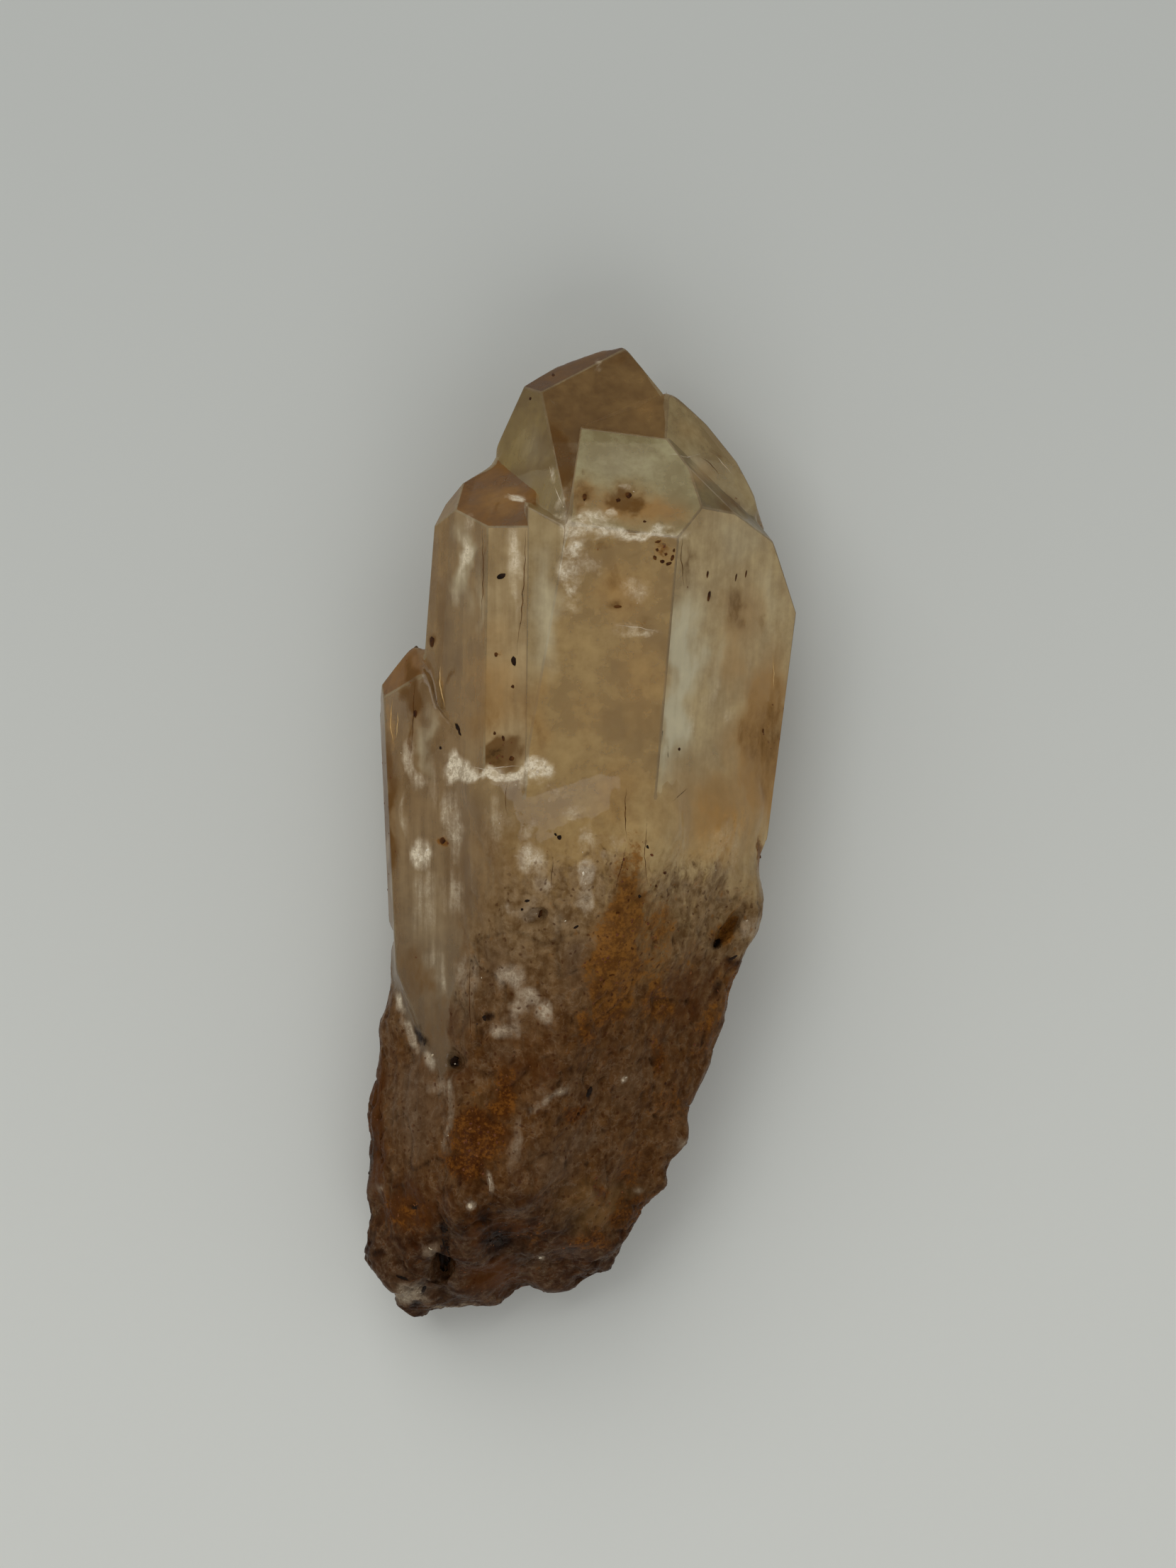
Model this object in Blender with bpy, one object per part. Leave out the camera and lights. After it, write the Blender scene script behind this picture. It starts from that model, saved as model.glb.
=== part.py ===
"""Citrine crystal: quartz crystals grown side by side on a broken, iron-stained base.

The numbers are millimetres. +Y runs along the crystals towards their tips, +Z is up,
and the crystal lies on the flat prism face that is cut at z = 0. Every facet is given
by three points on it, so that its edges fall where the real crystal has them.
"""
import math

import bmesh
import bpy
from mathutils import Vector, noise

MM = 0.001
LENGTH = 68.0
WIDTH = 30.0
THICKNESS = 20.0
NODE = "citrine_crystal"

# Everything is grown from this far below the resting face, which is cut at z = 0.
LOW = -0.5
BLOCK = (WIDTH * 2, LENGTH * 1.5, THICKNESS * 3)

HALF = LENGTH / 2
TIP = (2.1, HALF, 7.7)

# Planes that two crystals share.
TIP_FRONT = ((2.1, HALF, 9.0), (-2.7, 30.4, 11.9), (5.9, 27.4, 14.2))
SHOULDER_END = ((6.1, 30.0, 12.1), (5.9, 27.4, 14.2), (11.7, 23.9, 10.6))
FRONT_TOP = ((1.2, 21.0, THICKNESS), (6.7, 20.3, THICKNESS), (-3.9, 4.0, 19.0))
FRONT_FLANK = ((-3.6, 22.0, 18.9), (-3.8, 2.0, 18.9), (-3.9, 12.0, 12.0))
SMALL_TOP = ((-9.8, 8.6, 13.9), (-13.9, 8.6, 10.0), (-9.6, -15.0, 13.7))
SMALL_RIGHT = ((-7.4, 4.0, 16.0), (-7.4, -16.0, 15.0), (-7.0, -6.0, 11.0))

# The back crystal carries the highest tip.
BACK_MIDDLE = (1.0, 8.0, 9.0)
BACK_FACETS = {
    "front": TIP_FRONT,
    "left": ((-2.7, 30.4, 11.9), (-1.4, 23.9, 16.9), (-6.2, 26.2, 8.5)),
    "rim": ((-2.8, 30.6, 11.7), (1.4, 32.8, 10.0), (-3.9, 31.1, 9.6)),
    "right shoulder": SHOULDER_END,
    "top": ((0.0, 0.0, 17.0), (5.0, 0.0, 17.0), (0.0, 22.0, 18.6)),
    "under the tip": (TIP, (-4.0, 23.5, 0.0), (6.0, 23.5, 0.0)),
    "under the rim": (TIP, (-1.3, 32.8, 7.7), (0.9, 30.2, 2.6)),
    "under the left rim": ((-1.3, 32.8, 7.7), (-3.9, 31.1, 9.5), (-1.9, 28.6, 2.4)),
    "under the left": ((-3.9, 31.1, 9.6), (-6.2, 26.2, 8.5), (-4.2, 26.0, 2.0)),
    "right of the tip": ((3.3, 33.6, 9.3), (5.9, 30.3, 11.9), (3.9, 31.9, 6.5)),
    "left prism": ((-6.2, 26.2, 8.5), (-8.0, 0.0, 8.5), (-3.8, 10.0, 16.0)),
    "under left prism": ((-6.2, 26.2, 8.5), (-8.0, 0.0, 8.5), (-4.5, 10.0, 0.0)),
    "right prism": ((11.0, 20.0, 9.0), (10.0, 0.0, 9.0), (6.2, 10.0, 18.0)),
    "under right prism": ((11.0, 20.0, 9.0), (10.0, 0.0, 9.0), (6.6, 10.0, 0.0)),
    "root end": ((0.0, 0.0, 0.0), (5.0, 0.0, 0.0), (0.0, 0.0, 5.0)),
}

# The shoulder crystal fills the right side behind the front one.
SHOULDER_MIDDLE = (7.6, 15.0, 9.0)
SHOULDER_FACETS = {
    "end face": SHOULDER_END,
    "front": TIP_FRONT,
    "left": ((6.0, 30.4, 12.0), (5.7, 20.0, 12.0), (5.6, 28.0, 4.0)),
    "upper outline": ((6.4, 30.7, 11.6), (8.9, 28.4, 10.7), (6.6, 28.0, 4.0)),
    "middle outline": ((8.9, 28.4, 10.7), (10.9, 25.9, 10.3), (8.8, 25.4, 4.0)),
    "lower outline": ((10.9, 25.9, 10.3), (12.6, 22.5, 10.4), (10.6, 22.6, 4.0)),
    "right prism": ((12.9, 21.0, 9.5), (11.6, 4.0, 9.5), (9.6, 12.0, 14.0)),
    "under right prism": ((12.9, 21.0, 9.0), (11.6, 4.0, 9.0), (8.6, 12.0, 0.0)),
    "top": ((6.0, 8.0, 14.0), (10.0, 8.0, 13.0), (6.0, 26.0, 15.0)),
    "under the end": ((6.4, 30.0, 8.4), (10.8, 25.0, 6.6), (6.0, 22.6, 0.0)),
    "root end": ((0.0, 2.0, 0.0), (5.0, 2.0, 0.0), (0.0, 2.0, 5.0)),
}

# The front crystal has the broad top face, the pale end face and the long right side.
FRONT_MIDDLE = (3.0, 8.0, 9.0)
FRONT_FACETS = {
    "top": FRONT_TOP,
    "end face": ((1.2, 21.0, THICKNESS), (6.7, 20.3, THICKNESS), (1.7, 27.8, 14.9)),
    "right side": ((6.7, 20.3, THICKNESS), (9.0, 23.2, 17.6), (5.2, 4.2, 19.2)),
    "small right end": ((8.9, 22.4, 17.5), (12.3, 21.8, 13.3), (9.8, 24.3, 14.0)),
    "end step": ((0.0, 28.0, 14.8), (5.9, 27.2, 15.3), (3.0, 28.1, 11.0)),
    "right step": ((5.9, 27.2, 15.3), (9.0, 23.2, 17.6), (8.4, 25.2, 13.0)),
    "left step": ((0.0, 28.0, 14.8), (-0.9, 21.5, 19.6), (-0.6, 25.0, 10.0)),
    "left flank": FRONT_FLANK,
    "right brow": ((12.6, 22.3, 12.2), (14.4, 17.9, 10.1), (12.4, 19.2, 4.0)),
    "right corner": ((14.4, 17.9, 10.1), (15.1, 15.3, 8.8), (13.6, 16.0, 3.0)),
    "under right": ((15.1, 15.3, 8.8), (13.7, 3.0, 9.0), (9.2, 8.0, 0.0)),
    "under the brow": ((11.4, 24.6, 11.3), (12.6, 22.3, 12.2), (10.9, 22.6, 4.0)),
    "under the end": ((0.0, 27.8, 12.0), (5.9, 27.0, 12.0), (2.0, 19.5, 2.0)),
    "under the right end": ((7.0, 25.0, 9.0), (14.0, 16.0, 6.5), (7.5, 17.0, 0.0)),
    "root end": ((0.0, -1.0, 0.0), (5.0, -1.0, 0.0), (0.0, -1.0, 5.0)),
}

# A low shelf of the front crystal runs down its left side, with one shallow facet.
SHELF_MIDDLE = (-2.4, 10.0, 16.0)
SHELF_FACETS = {
    "top": FRONT_TOP,
    "shallow facet": ((-1.6, 17.3, 19.75), (-3.7, 5.4, 19.06), (-3.2, 22.5, 18.9)),
    "upper end": ((-0.9, 21.1, 19.9), (-3.3, 22.3, 18.8), (-2.2, 22.4, 14.0)),
    "left flank": FRONT_FLANK,
    "right": ((1.0, 20.0, 18.0), (1.0, 4.0, 18.0), (1.0, 10.0, 10.0)),
    "underside": ((-4.0, 0.0, 12.0), (0.0, 0.0, 12.0), (-4.0, 20.0, 12.0)),
    "root end": ((-4.0, -1.0, 0.0), (0.0, -1.0, 0.0), (-4.0, -1.0, 5.0)),
}

# The left crystal stands a little lower and ends in two brown faces.
LEFT_MIDDLE = (-6.5, 12.0, 12.0)
LEFT_FACETS = {
    "top": ((-3.7, 21.2, 18.6), (-3.9, 8.0, 18.5), (-6.4, 21.2, 17.5)),
    "left side": ((-6.4, 21.2, 17.5), (-6.6, 8.0, 17.4), (-10.3, 18.5, 12.2)),
    "end face": ((-3.7, 21.1, 18.6), (-5.7, 21.1, 17.8), (-6.2, 26.2, 8.6)),
    "left end face": ((-7.5, 23.2, 15.9), (-9.9, 21.5, 12.6), (-7.3, 25.4, 11.2)),
    "under left": ((-9.9, 22.0, 12.0), (-10.6, 15.4, 11.8), (-7.0, 16.0, 3.0)),
    "under the end": ((-9.6, 23.0, 11.6), (-6.2, 26.2, 10.6), (-6.0, 22.0, 4.0)),
    "right": ((-3.0, 21.0, 18.0), (-3.0, 5.0, 18.0), (-3.0, 12.0, 4.0)),
    "underside": ((-8.0, 0.0, 2.0), (-3.0, 0.0, 2.0), (-8.0, 20.0, 3.0)),
    "root end": ((-6.0, 2.4, 0.0), (0.0, 2.4, 0.0), (-6.0, 2.4, 5.0)),
}

# The smallest crystal is the striated one low on the left.
SMALL_MIDDLE = (-11.2, 5.0, 9.0)
SMALL_FACETS = {
    "top": SMALL_TOP,
    "left end": ((-11.5, 13.3, 10.4), (-14.0, 10.0, 9.4), (-12.0, 9.9, 12.2)),
    "right end": ((-11.5, 13.3, 10.4), (-10.6, 12.8, 10.4), (-10.6, 10.2, 13.6)),
    "right": ((-10.6, 12.6, 12.0), (-9.8, 8.0, 12.0), (-9.9, 11.0, 5.0)),
    "lower right": SMALL_RIGHT,
    "left": ((-14.0, 10.0, 8.0), (-13.3, -6.0, 8.0), (-13.2, 4.0, 12.5)),
    "under left": ((-14.0, 10.0, 7.0), (-13.3, -6.0, 7.0), (-10.6, 4.0, 1.5)),
    "under the end": ((-11.5, 13.3, 10.2), (-14.0, 10.0, 9.0), (-11.4, 10.4, 3.0)),
    "under right end": ((-11.5, 13.3, 10.3), (-10.6, 12.8, 10.3), (-11.2, 10.6, 3.0)),
    "underside": ((-12.0, 0.0, 2.0), (-9.0, 0.0, 2.0), (-12.0, 8.0, 2.6)),
    "slanting foot": ((-13.2, -7.6, 12.0), (-10.2, -16.0, 13.0), (-12.4, -13.0, 7.0)),
    "foot": ((-10.2, -15.9, 15.0), (-7.5, -16.1, 17.0), (-9.0, -16.8, 10.0)),
}

# A wedge of it widens to the right below the left crystal.
WEDGE_MIDDLE = (-8.6, 0.0, 10.0)
WEDGE_FACETS = {
    "top": SMALL_TOP,
    "upper end": ((-9.8, 8.6, 13.9), (-7.1, 5.3, 16.4), (-8.6, 7.4, 9.0)),
    "right": SMALL_RIGHT,
    "left": ((-10.2, 4.0, 10.0), (-10.2, -8.0, 10.0), (-10.2, -2.0, 7.0)),
    "underside": ((-12.0, 0.0, 6.0), (-9.0, 0.0, 6.0), (-12.0, 8.0, 6.0)),
    "root end": ((-12.0, -8.0, 0.0), (-8.0, -8.0, 0.0), (-12.0, -8.0, 5.0)),
}

# The base is lofted through these sections along Y, each with seven corners (x, z): the
# left edge, the left, middle and right ridges, the right edge, the lower right and left.
BASE_SECTIONS = {
    8.0: ((-9.0, 8.6), (-7.0, 13.0), (-4.0, 15.5), (3.0, 16.0), (10.5, 9.0), (7.0, 0.6), (-5.5, 0.6)),
    4.8: ((-11.6, 8.0), (-7.2, 16.6), (-4.2, 18.4), (4.4, 18.8), (13.2, 9.0), (8.6, LOW), (-7.6, LOW)),
    1.0: ((-13.0, 8.0), (-7.2, 17.2), (-4.4, 19.5), (5.0, 20.1), (13.7, 9.0), (8.8, LOW), (-9.4, LOW)),
    -4.0: ((-12.9, 8.0), (-7.3, 17.1), (-4.6, 19.1), (3.3, 19.9), (12.9, 8.6), (8.6, LOW), (-9.6, LOW)),
    -9.0: ((-13.5, 8.0), (-7.4, 16.6), (-4.9, 18.3), (1.4, 19.0), (11.7, 8.4), (7.9, LOW), (-9.9, LOW)),
    -15.0: ((-14.5, 7.6), (-7.6, 16.2), (-5.2, 17.3), (-0.8, 17.9), (9.6, 8.0), (6.3, LOW), (-10.6, LOW)),
    -20.0: ((-15.2, 7.4), (-8.1, 15.7), (-6.0, 16.5), (-3.0, 17.0), (7.8, 7.6), (4.7, LOW), (-11.4, LOW)),
    -25.0: ((-15.5, 7.0), (-9.0, 15.2), (-6.8, 15.8), (-4.4, 16.2), (5.6, 7.2), (3.0, LOW), (-11.8, LOW)),
    -36.0: ((-13.9, 6.4), (-9.6, 13.8), (-7.4, 14.2), (-5.2, 14.4), (1.2, 6.6), (-0.4, LOW), (-11.8, LOW)),
}
BASE_MIDDLE = (-4.0, -15.0, 7.0)
BASE_BREAKS = {
    "broken end": ((-12.0, -34.2, 4.0), (1.9, -31.4, 4.0), (-6.0, -26.6, 15.2)),
    "left corner": ((-15.3, -30.8, 5.0), (-12.4, -34.5, 4.0), (-13.4, -30.2, 12.0)),
    "under the end": ((-12.0, -34.3, 3.2), (1.9, -31.7, 3.2), (-6.0, -31.2, LOW)),
    "right corner": ((5.3, -25.0, 6.0), (2.2, -31.0, 5.0), (2.8, -26.6, 13.0)),
}

# Lumps grown on the base: middle, then half sizes along X, Y and Z.
LUMPS = {
    "right bulge": ((11.2, -5.2, 8.6), (1.7, 2.4, 2.6)),
    "left swelling": ((-12.7, -13.6, 7.6), (1.9, 2.9, 2.6)),
    "left ledge": ((-12.5, -9.4, 8.0), (1.1, 1.9, 2.2)),
    "right knob": ((6.9, -21.1, 7.4), (1.3, 1.3, 2.0)),
    "crown left": ((-7.4, 3.2, 15.8), (1.4, 1.8, 1.6)),
    "crown right": ((-5.2, 3.2, 17.4), (1.9, 1.5, 1.3)),
    "heel": ((-12.2, -31.6, 3.2), (1.5, 1.9, 2.0)),
}

# Pits and clefts cut into the base: middle, half sizes, turn about Z in degrees.
PITS = {
    "black hole": ((-8.7, -15.8, 15.2), (0.7, 0.9, 2.0), 20.0),
    "base hollow": ((-9.7, -30.2, 9.2), (0.8, 1.9, 2.2), -12.0),
    "bulge slot": ((10.3, -6.6, 11.0), (0.5, 2.0, 1.6), -38.0),
    "middle pit": ((-3.0, -5.6, 18.8), (1.0, 0.6, 0.9), 30.0),
    "low slit": ((0.6, -18.0, 16.4), (0.4, 1.0, 1.2), -25.0),
    "left notch": ((-14.0, -7.4, 8.4), (1.2, 0.9, 3.0), 20.0),
}

# Faces closer to flat than this many degrees are one face, and thinner slivers go.
FLAT_ANGLE = 0.3
SLIVER = 0.005

# The relief of the fracture: the size of its skin's squares, then waves and heights.
VOXEL = 1.1
LUMP_STEPS = 2
COARSE_WAVE = 5.0
COARSE_HEIGHT = 0.45
SPLINTER_WAVE = (2.5, 11.0, 2.5)
SPLINTER_HEIGHT = 0.40
BREAK_START = -24.0
BREAK_EXTRA = 0.8
CRUMBLE_WAVE = 2.8
SPLINTER_SHIFT = Vector((9.0, 3.0, 5.0))
CRUMBLE_SHIFT = Vector((2.0, 7.0, 1.0))
SOFTENING = 0.5
SOFTENING_ROUNDS = 3


def clear_scene():
    """Remove every object that the file opens with."""
    for thing in list(bpy.data.objects):
        bpy.data.objects.remove(thing, do_unlink=True)


def citrine_material():
    """A warm brown, slightly glossy stand-in finish for the solid."""
    finish = bpy.data.materials.new("citrine")
    finish.use_nodes = True
    shader = finish.node_tree.nodes["Principled BSDF"]
    shader.inputs["Base Color"].default_value = (0.24, 0.15, 0.07, 1.0)
    shader.inputs["Roughness"].default_value = 0.25
    shader.inputs["Metallic"].default_value = 0.0
    return finish


def add_object(name, bm):
    """Make a scene object from a bmesh whose numbers are millimetres."""
    bmesh.ops.scale(bm, vec=(MM, MM, MM), verts=bm.verts)
    bmesh.ops.recalc_face_normals(bm, faces=bm.faces)
    mesh = bpy.data.meshes.new(name)
    bm.to_mesh(mesh)
    bm.free()
    thing = bpy.data.objects.new(name, mesh)
    bpy.context.scene.collection.objects.link(thing)
    return thing


def slice_off(bm, corners, middle):
    """Cut away what lies beyond the plane through three corners, and close the cut."""
    first, second, third = (Vector(corner) for corner in corners)
    normal = (second - first).cross(third - first).normalized()
    if (Vector(middle) - first).dot(normal) > 0:
        normal.negate()
    geometry = bm.verts[:] + bm.edges[:] + bm.faces[:]
    cut = bmesh.ops.bisect_plane(
        bm, geom=geometry, plane_co=first, plane_no=normal, clear_outer=True
    )
    rim = [item for item in cut["geom_cut"] if isinstance(item, bmesh.types.BMEdge)]
    if rim:
        bmesh.ops.contextual_create(bm, geom=rim)


def crystal(name, middle, facets):
    """A convex crystal: a block with one slice taken off for each facet."""
    bm = bmesh.new()
    bmesh.ops.create_cube(bm, size=1.0)
    bmesh.ops.scale(bm, vec=BLOCK, verts=bm.verts)
    slice_off(bm, ((0, 0, LOW), (1, 0, LOW), (0, 1, LOW)), middle)
    for corners in facets.values():
        slice_off(bm, corners, middle)
    return add_object(name, bm)


def lofted_base():
    """The base before it is roughened: a loft through its sections, broken at the end."""
    bm = bmesh.new()
    rings = []
    for along, corners in BASE_SECTIONS.items():
        rings.append([bm.verts.new((x, along, z)) for x, z in corners])
    for near, far in zip(rings, rings[1:]):
        for here in range(len(near)):
            after = (here + 1) % len(near)
            bm.faces.new((near[here], near[after], far[after], far[here]))
    bm.faces.new(rings[0])
    bm.faces.new(list(reversed(rings[-1])))
    bmesh.ops.triangulate(bm, faces=bm.faces)
    for corners in BASE_BREAKS.values():
        slice_off(bm, corners, BASE_MIDDLE)
    return add_object("base", bm)


def ellipsoid(name, middle, half_sizes):
    """A faceted ellipsoid."""
    bm = bmesh.new()
    bmesh.ops.create_icosphere(bm, subdivisions=LUMP_STEPS, radius=1.0)
    bmesh.ops.scale(bm, vec=half_sizes, verts=bm.verts)
    bmesh.ops.translate(bm, vec=middle, verts=bm.verts)
    return add_object(name, bm)


def merge_flat_faces(mesh):
    """Join the pieces that Booleans leave of one flat face, and drop their slivers."""
    bm = bmesh.new()
    bm.from_mesh(mesh)
    bmesh.ops.dissolve_degenerate(bm, edges=bm.edges, dist=SLIVER * MM)
    bmesh.ops.dissolve_limit(
        bm, verts=bm.verts, edges=bm.edges, angle_limit=math.radians(FLAT_ANGLE)
    )
    bmesh.ops.triangulate(bm, faces=bm.faces)
    bmesh.ops.dissolve_degenerate(bm, edges=bm.edges, dist=SLIVER * MM)
    bm.to_mesh(mesh)
    bm.free()


def keep_outer_skin(mesh):
    """Delete every shell but the one with the most faces, so that no hollow is sealed in."""
    bm = bmesh.new()
    bm.from_mesh(mesh)
    waiting = set(bm.faces)
    shells = []
    while waiting:
        shell = set()
        reached = [waiting.pop()]
        while reached:
            face = reached.pop()
            shell.add(face)
            for neighbour in {other for edge in face.edges for other in edge.link_faces}:
                if neighbour in waiting:
                    waiting.remove(neighbour)
                    reached.append(neighbour)
        shells.append(shell)
    outer = max(shells, key=len)
    inner = [face for shell in shells if shell is not outer for face in shell]
    bmesh.ops.delete(bm, geom=inner, context="FACES")
    bm.to_mesh(mesh)
    bm.free()


def combine(target, tool, operation):
    """Boolean one object with another, keep the result in the first, drop the second."""
    step = target.modifiers.new("combine", "BOOLEAN")
    step.operation = operation
    step.solver = "EXACT"
    step.object = tool
    bpy.context.view_layer.update()
    graph = bpy.context.evaluated_depsgraph_get()
    result = bpy.data.meshes.new_from_object(target.evaluated_get(graph))
    target.modifiers.clear()
    target.data = result
    bpy.data.objects.remove(tool, do_unlink=True)


def remesh(target, size):
    """Rebuild an object as even quads of the given size in millimetres."""
    step = target.modifiers.new("remesh", "REMESH")
    step.mode = "VOXEL"
    step.voxel_size = size * MM
    step.adaptivity = 0.0
    bpy.context.view_layer.update()
    graph = bpy.context.evaluated_depsgraph_get()
    result = bpy.data.meshes.new_from_object(target.evaluated_get(graph))
    target.modifiers.clear()
    target.data = result


def roughness_at(place):
    """How far the base stands out at a place, in millimetres: swells and splinters."""
    swell = noise.noise(place / COARSE_WAVE) * COARSE_HEIGHT
    stretched = Vector(place[axis] / SPLINTER_WAVE[axis] for axis in range(3))
    splinter = noise.noise(stretched + SPLINTER_SHIFT) * SPLINTER_HEIGHT
    broken = BREAK_EXTRA if place.y < BREAK_START else 0.0
    crumble = noise.noise(place / CRUMBLE_WAVE + CRUMBLE_SHIFT) * broken
    return swell + splinter + crumble


def roughen(target):
    """Move the base's points along their normals by the fracture relief."""
    bm = bmesh.new()
    bm.from_mesh(target.data)
    for _ in range(SOFTENING_ROUNDS):
        bmesh.ops.smooth_vert(
            bm, verts=bm.verts, factor=SOFTENING, use_axis_x=True, use_axis_y=True, use_axis_z=True
        )
    bm.normal_update()
    for point in bm.verts:
        place = point.co / MM
        point.co += point.normal * roughness_at(place) * MM
    bm.to_mesh(target.data)
    bm.free()


def rough_base():
    """The base with its lumps, remeshed into one skin and roughened."""
    base = lofted_base()
    for name, (middle, half_sizes) in LUMPS.items():
        combine(base, ellipsoid(name, middle, half_sizes), "UNION")
    remesh(base, VOXEL)
    roughen(base)
    return base


def cut_pits(target):
    """Cut the dark pits and clefts."""
    for name, (middle, half_sizes, turn) in PITS.items():
        pit = ellipsoid(name, (0.0, 0.0, 0.0), half_sizes)
        pit.rotation_euler.z = math.radians(turn)
        pit.location = Vector(middle) * MM
        combine(target, pit, "DIFFERENCE")


def cut_resting_face(target):
    """Cut everything below z = 0 away, which leaves the flat face it lies on."""
    bm = bmesh.new()
    bmesh.ops.create_cube(bm, size=1.0)
    bmesh.ops.scale(bm, vec=BLOCK, verts=bm.verts)
    bmesh.ops.translate(bm, vec=(0.0, 0.0, -BLOCK[2] / 2), verts=bm.verts)
    combine(target, add_object("ground", bm), "DIFFERENCE")


def build():
    """Grow the crystals, fuse them with the base and set the finish."""
    clear_scene()
    whole = crystal(NODE, BACK_MIDDLE, BACK_FACETS)
    combine(whole, crystal("shoulder", SHOULDER_MIDDLE, SHOULDER_FACETS), "UNION")
    combine(whole, crystal("front", FRONT_MIDDLE, FRONT_FACETS), "UNION")
    combine(whole, crystal("shelf", SHELF_MIDDLE, SHELF_FACETS), "UNION")
    combine(whole, crystal("left", LEFT_MIDDLE, LEFT_FACETS), "UNION")
    combine(whole, crystal("small", SMALL_MIDDLE, SMALL_FACETS), "UNION")
    combine(whole, rough_base(), "UNION")
    combine(whole, crystal("wedge", WEDGE_MIDDLE, WEDGE_FACETS), "UNION")
    cut_pits(whole)
    cut_resting_face(whole)
    keep_outer_skin(whole.data)
    merge_flat_faces(whole.data)
    whole.name = NODE
    whole.data.name = NODE
    whole.data.materials.clear()
    whole.data.materials.append(citrine_material())
    return whole


build()
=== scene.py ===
# %% [markdown]
# # A citrine crystal
# This lesson dresses a solid model of a natural citrine: smoky amber quartz crystals that
# grew side by side from one base, lying on a pale surface. The solid already has the size
# and the facets. What it lacks is what makes quartz look like quartz: glass that colours
# the light on its way through, milky haze, white veils, iron stain and a crumbly base.

# %% Load the solid that everything is fitted to
import math

import bmesh
import bpy
import numpy as np
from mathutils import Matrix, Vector, noise
from mathutils.bvhtree import BVHTree
from mathutils.kdtree import KDTree


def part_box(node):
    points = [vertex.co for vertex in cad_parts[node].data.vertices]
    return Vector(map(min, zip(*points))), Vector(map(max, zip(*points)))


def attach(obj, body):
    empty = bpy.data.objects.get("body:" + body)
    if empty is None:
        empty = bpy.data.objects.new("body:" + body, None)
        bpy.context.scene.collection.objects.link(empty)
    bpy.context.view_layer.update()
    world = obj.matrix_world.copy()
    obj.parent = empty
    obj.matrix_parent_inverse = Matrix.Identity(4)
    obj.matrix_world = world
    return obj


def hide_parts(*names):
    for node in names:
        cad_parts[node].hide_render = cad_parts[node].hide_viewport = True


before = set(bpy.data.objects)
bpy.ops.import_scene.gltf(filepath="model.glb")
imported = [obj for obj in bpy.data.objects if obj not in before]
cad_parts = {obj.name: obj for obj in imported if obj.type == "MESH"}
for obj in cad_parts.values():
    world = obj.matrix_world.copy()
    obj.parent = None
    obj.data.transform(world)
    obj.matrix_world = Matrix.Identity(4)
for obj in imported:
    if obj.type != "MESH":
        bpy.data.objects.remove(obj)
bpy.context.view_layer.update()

MM = 0.001
NOISE_SEED = 5
NODE = "citrine_crystal"
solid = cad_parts[NODE]
low_corner, high_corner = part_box(NODE)
size_mm = [(high - low) / MM for low, high in zip(low_corner, high_corner)]
noise.seed_set(NOISE_SEED)
print("the solid is", " x ".join(f"{side:.1f}" for side in size_mm), "mm")

# %% [markdown]
# ## The view
# The photographer held the camera straight above the stone. A camera with no rotation
# already looks down along Z with +Y up in the picture, so only its place has to be set.
# It stands well back with a long lens, which keeps the top of the stone from swelling.

# %% Camera straight above
VIEW_HEIGHT = 109.2
OUTLINE_HEIGHT = 9.5
CAMERA_ABOVE = 620.0
AIM = (0.52, 3.41)
SENSOR = 24.0

lens = bpy.data.cameras.new("camera")
lens.sensor_fit = "VERTICAL"
lens.sensor_height = SENSOR
lens.lens = SENSOR * CAMERA_ABOVE / VIEW_HEIGHT
lens.clip_start = 0.01
lens.clip_end = 10.0
scene = bpy.context.scene


def in_scene(name, data):
    """A new object that is linked to the scene."""
    made = bpy.data.objects.new(name, data)
    scene.collection.objects.link(made)
    return made


camera = in_scene("camera", lens)
camera.location = Vector((*AIM, OUTLINE_HEIGHT + CAMERA_ABOVE)) * MM
scene.camera = camera
scene.view_settings.view_transform = "Standard"
scene.view_settings.look = "None"
print(f"camera {CAMERA_ABOVE:.0f} mm above the outline, lens {lens.lens:.0f} mm")

# %% [markdown]
# ## Node trees as Python
# A node tree gets hard to read when every sum is three lines. The first class wraps an
# output socket, so that `1 - stain * 0.5` adds the Math nodes by itself. Everything that
# isn't arithmetic comes from one method, `node`, for materials and for Geometry Nodes.


# %% A wire that does arithmetic
class Wire:
    """One output socket; arithmetic on it adds Math nodes to its tree."""

    def __init__(self, maker, socket):
        self.maker = maker
        self.socket = socket

    def math(self, operation, first, second, clamp=False):
        settings = {"operation": operation, "use_clamp": clamp}
        return self.maker.node("ShaderNodeMath", settings, {0: first, 1: second})

    def __add__(self, other):
        return self.math("ADD", self, other)

    def __radd__(self, other):
        return self.math("ADD", other, self)

    def __sub__(self, other):
        return self.math("SUBTRACT", self, other)

    def __rsub__(self, other):
        return self.math("SUBTRACT", other, self)

    def __mul__(self, other):
        return self.math("MULTIPLY", self, other)

    def __rmul__(self, other):
        return self.math("MULTIPLY", other, self)

    def clamp(self):
        """The same value, held between 0 and 1."""
        return self.math("ADD", self, 0.0, clamp=True)

    def highest(self, other):
        """The larger of two values."""
        return self.math("MAXIMUM", self, other)

    def size(self):
        """The value without its sign."""
        return self.math("ABSOLUTE", self, 0.0)

    def other(self, name):
        """Another output of the node that this wire leaves."""
        return Wire(self.maker, self.socket.node.outputs[name])


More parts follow.
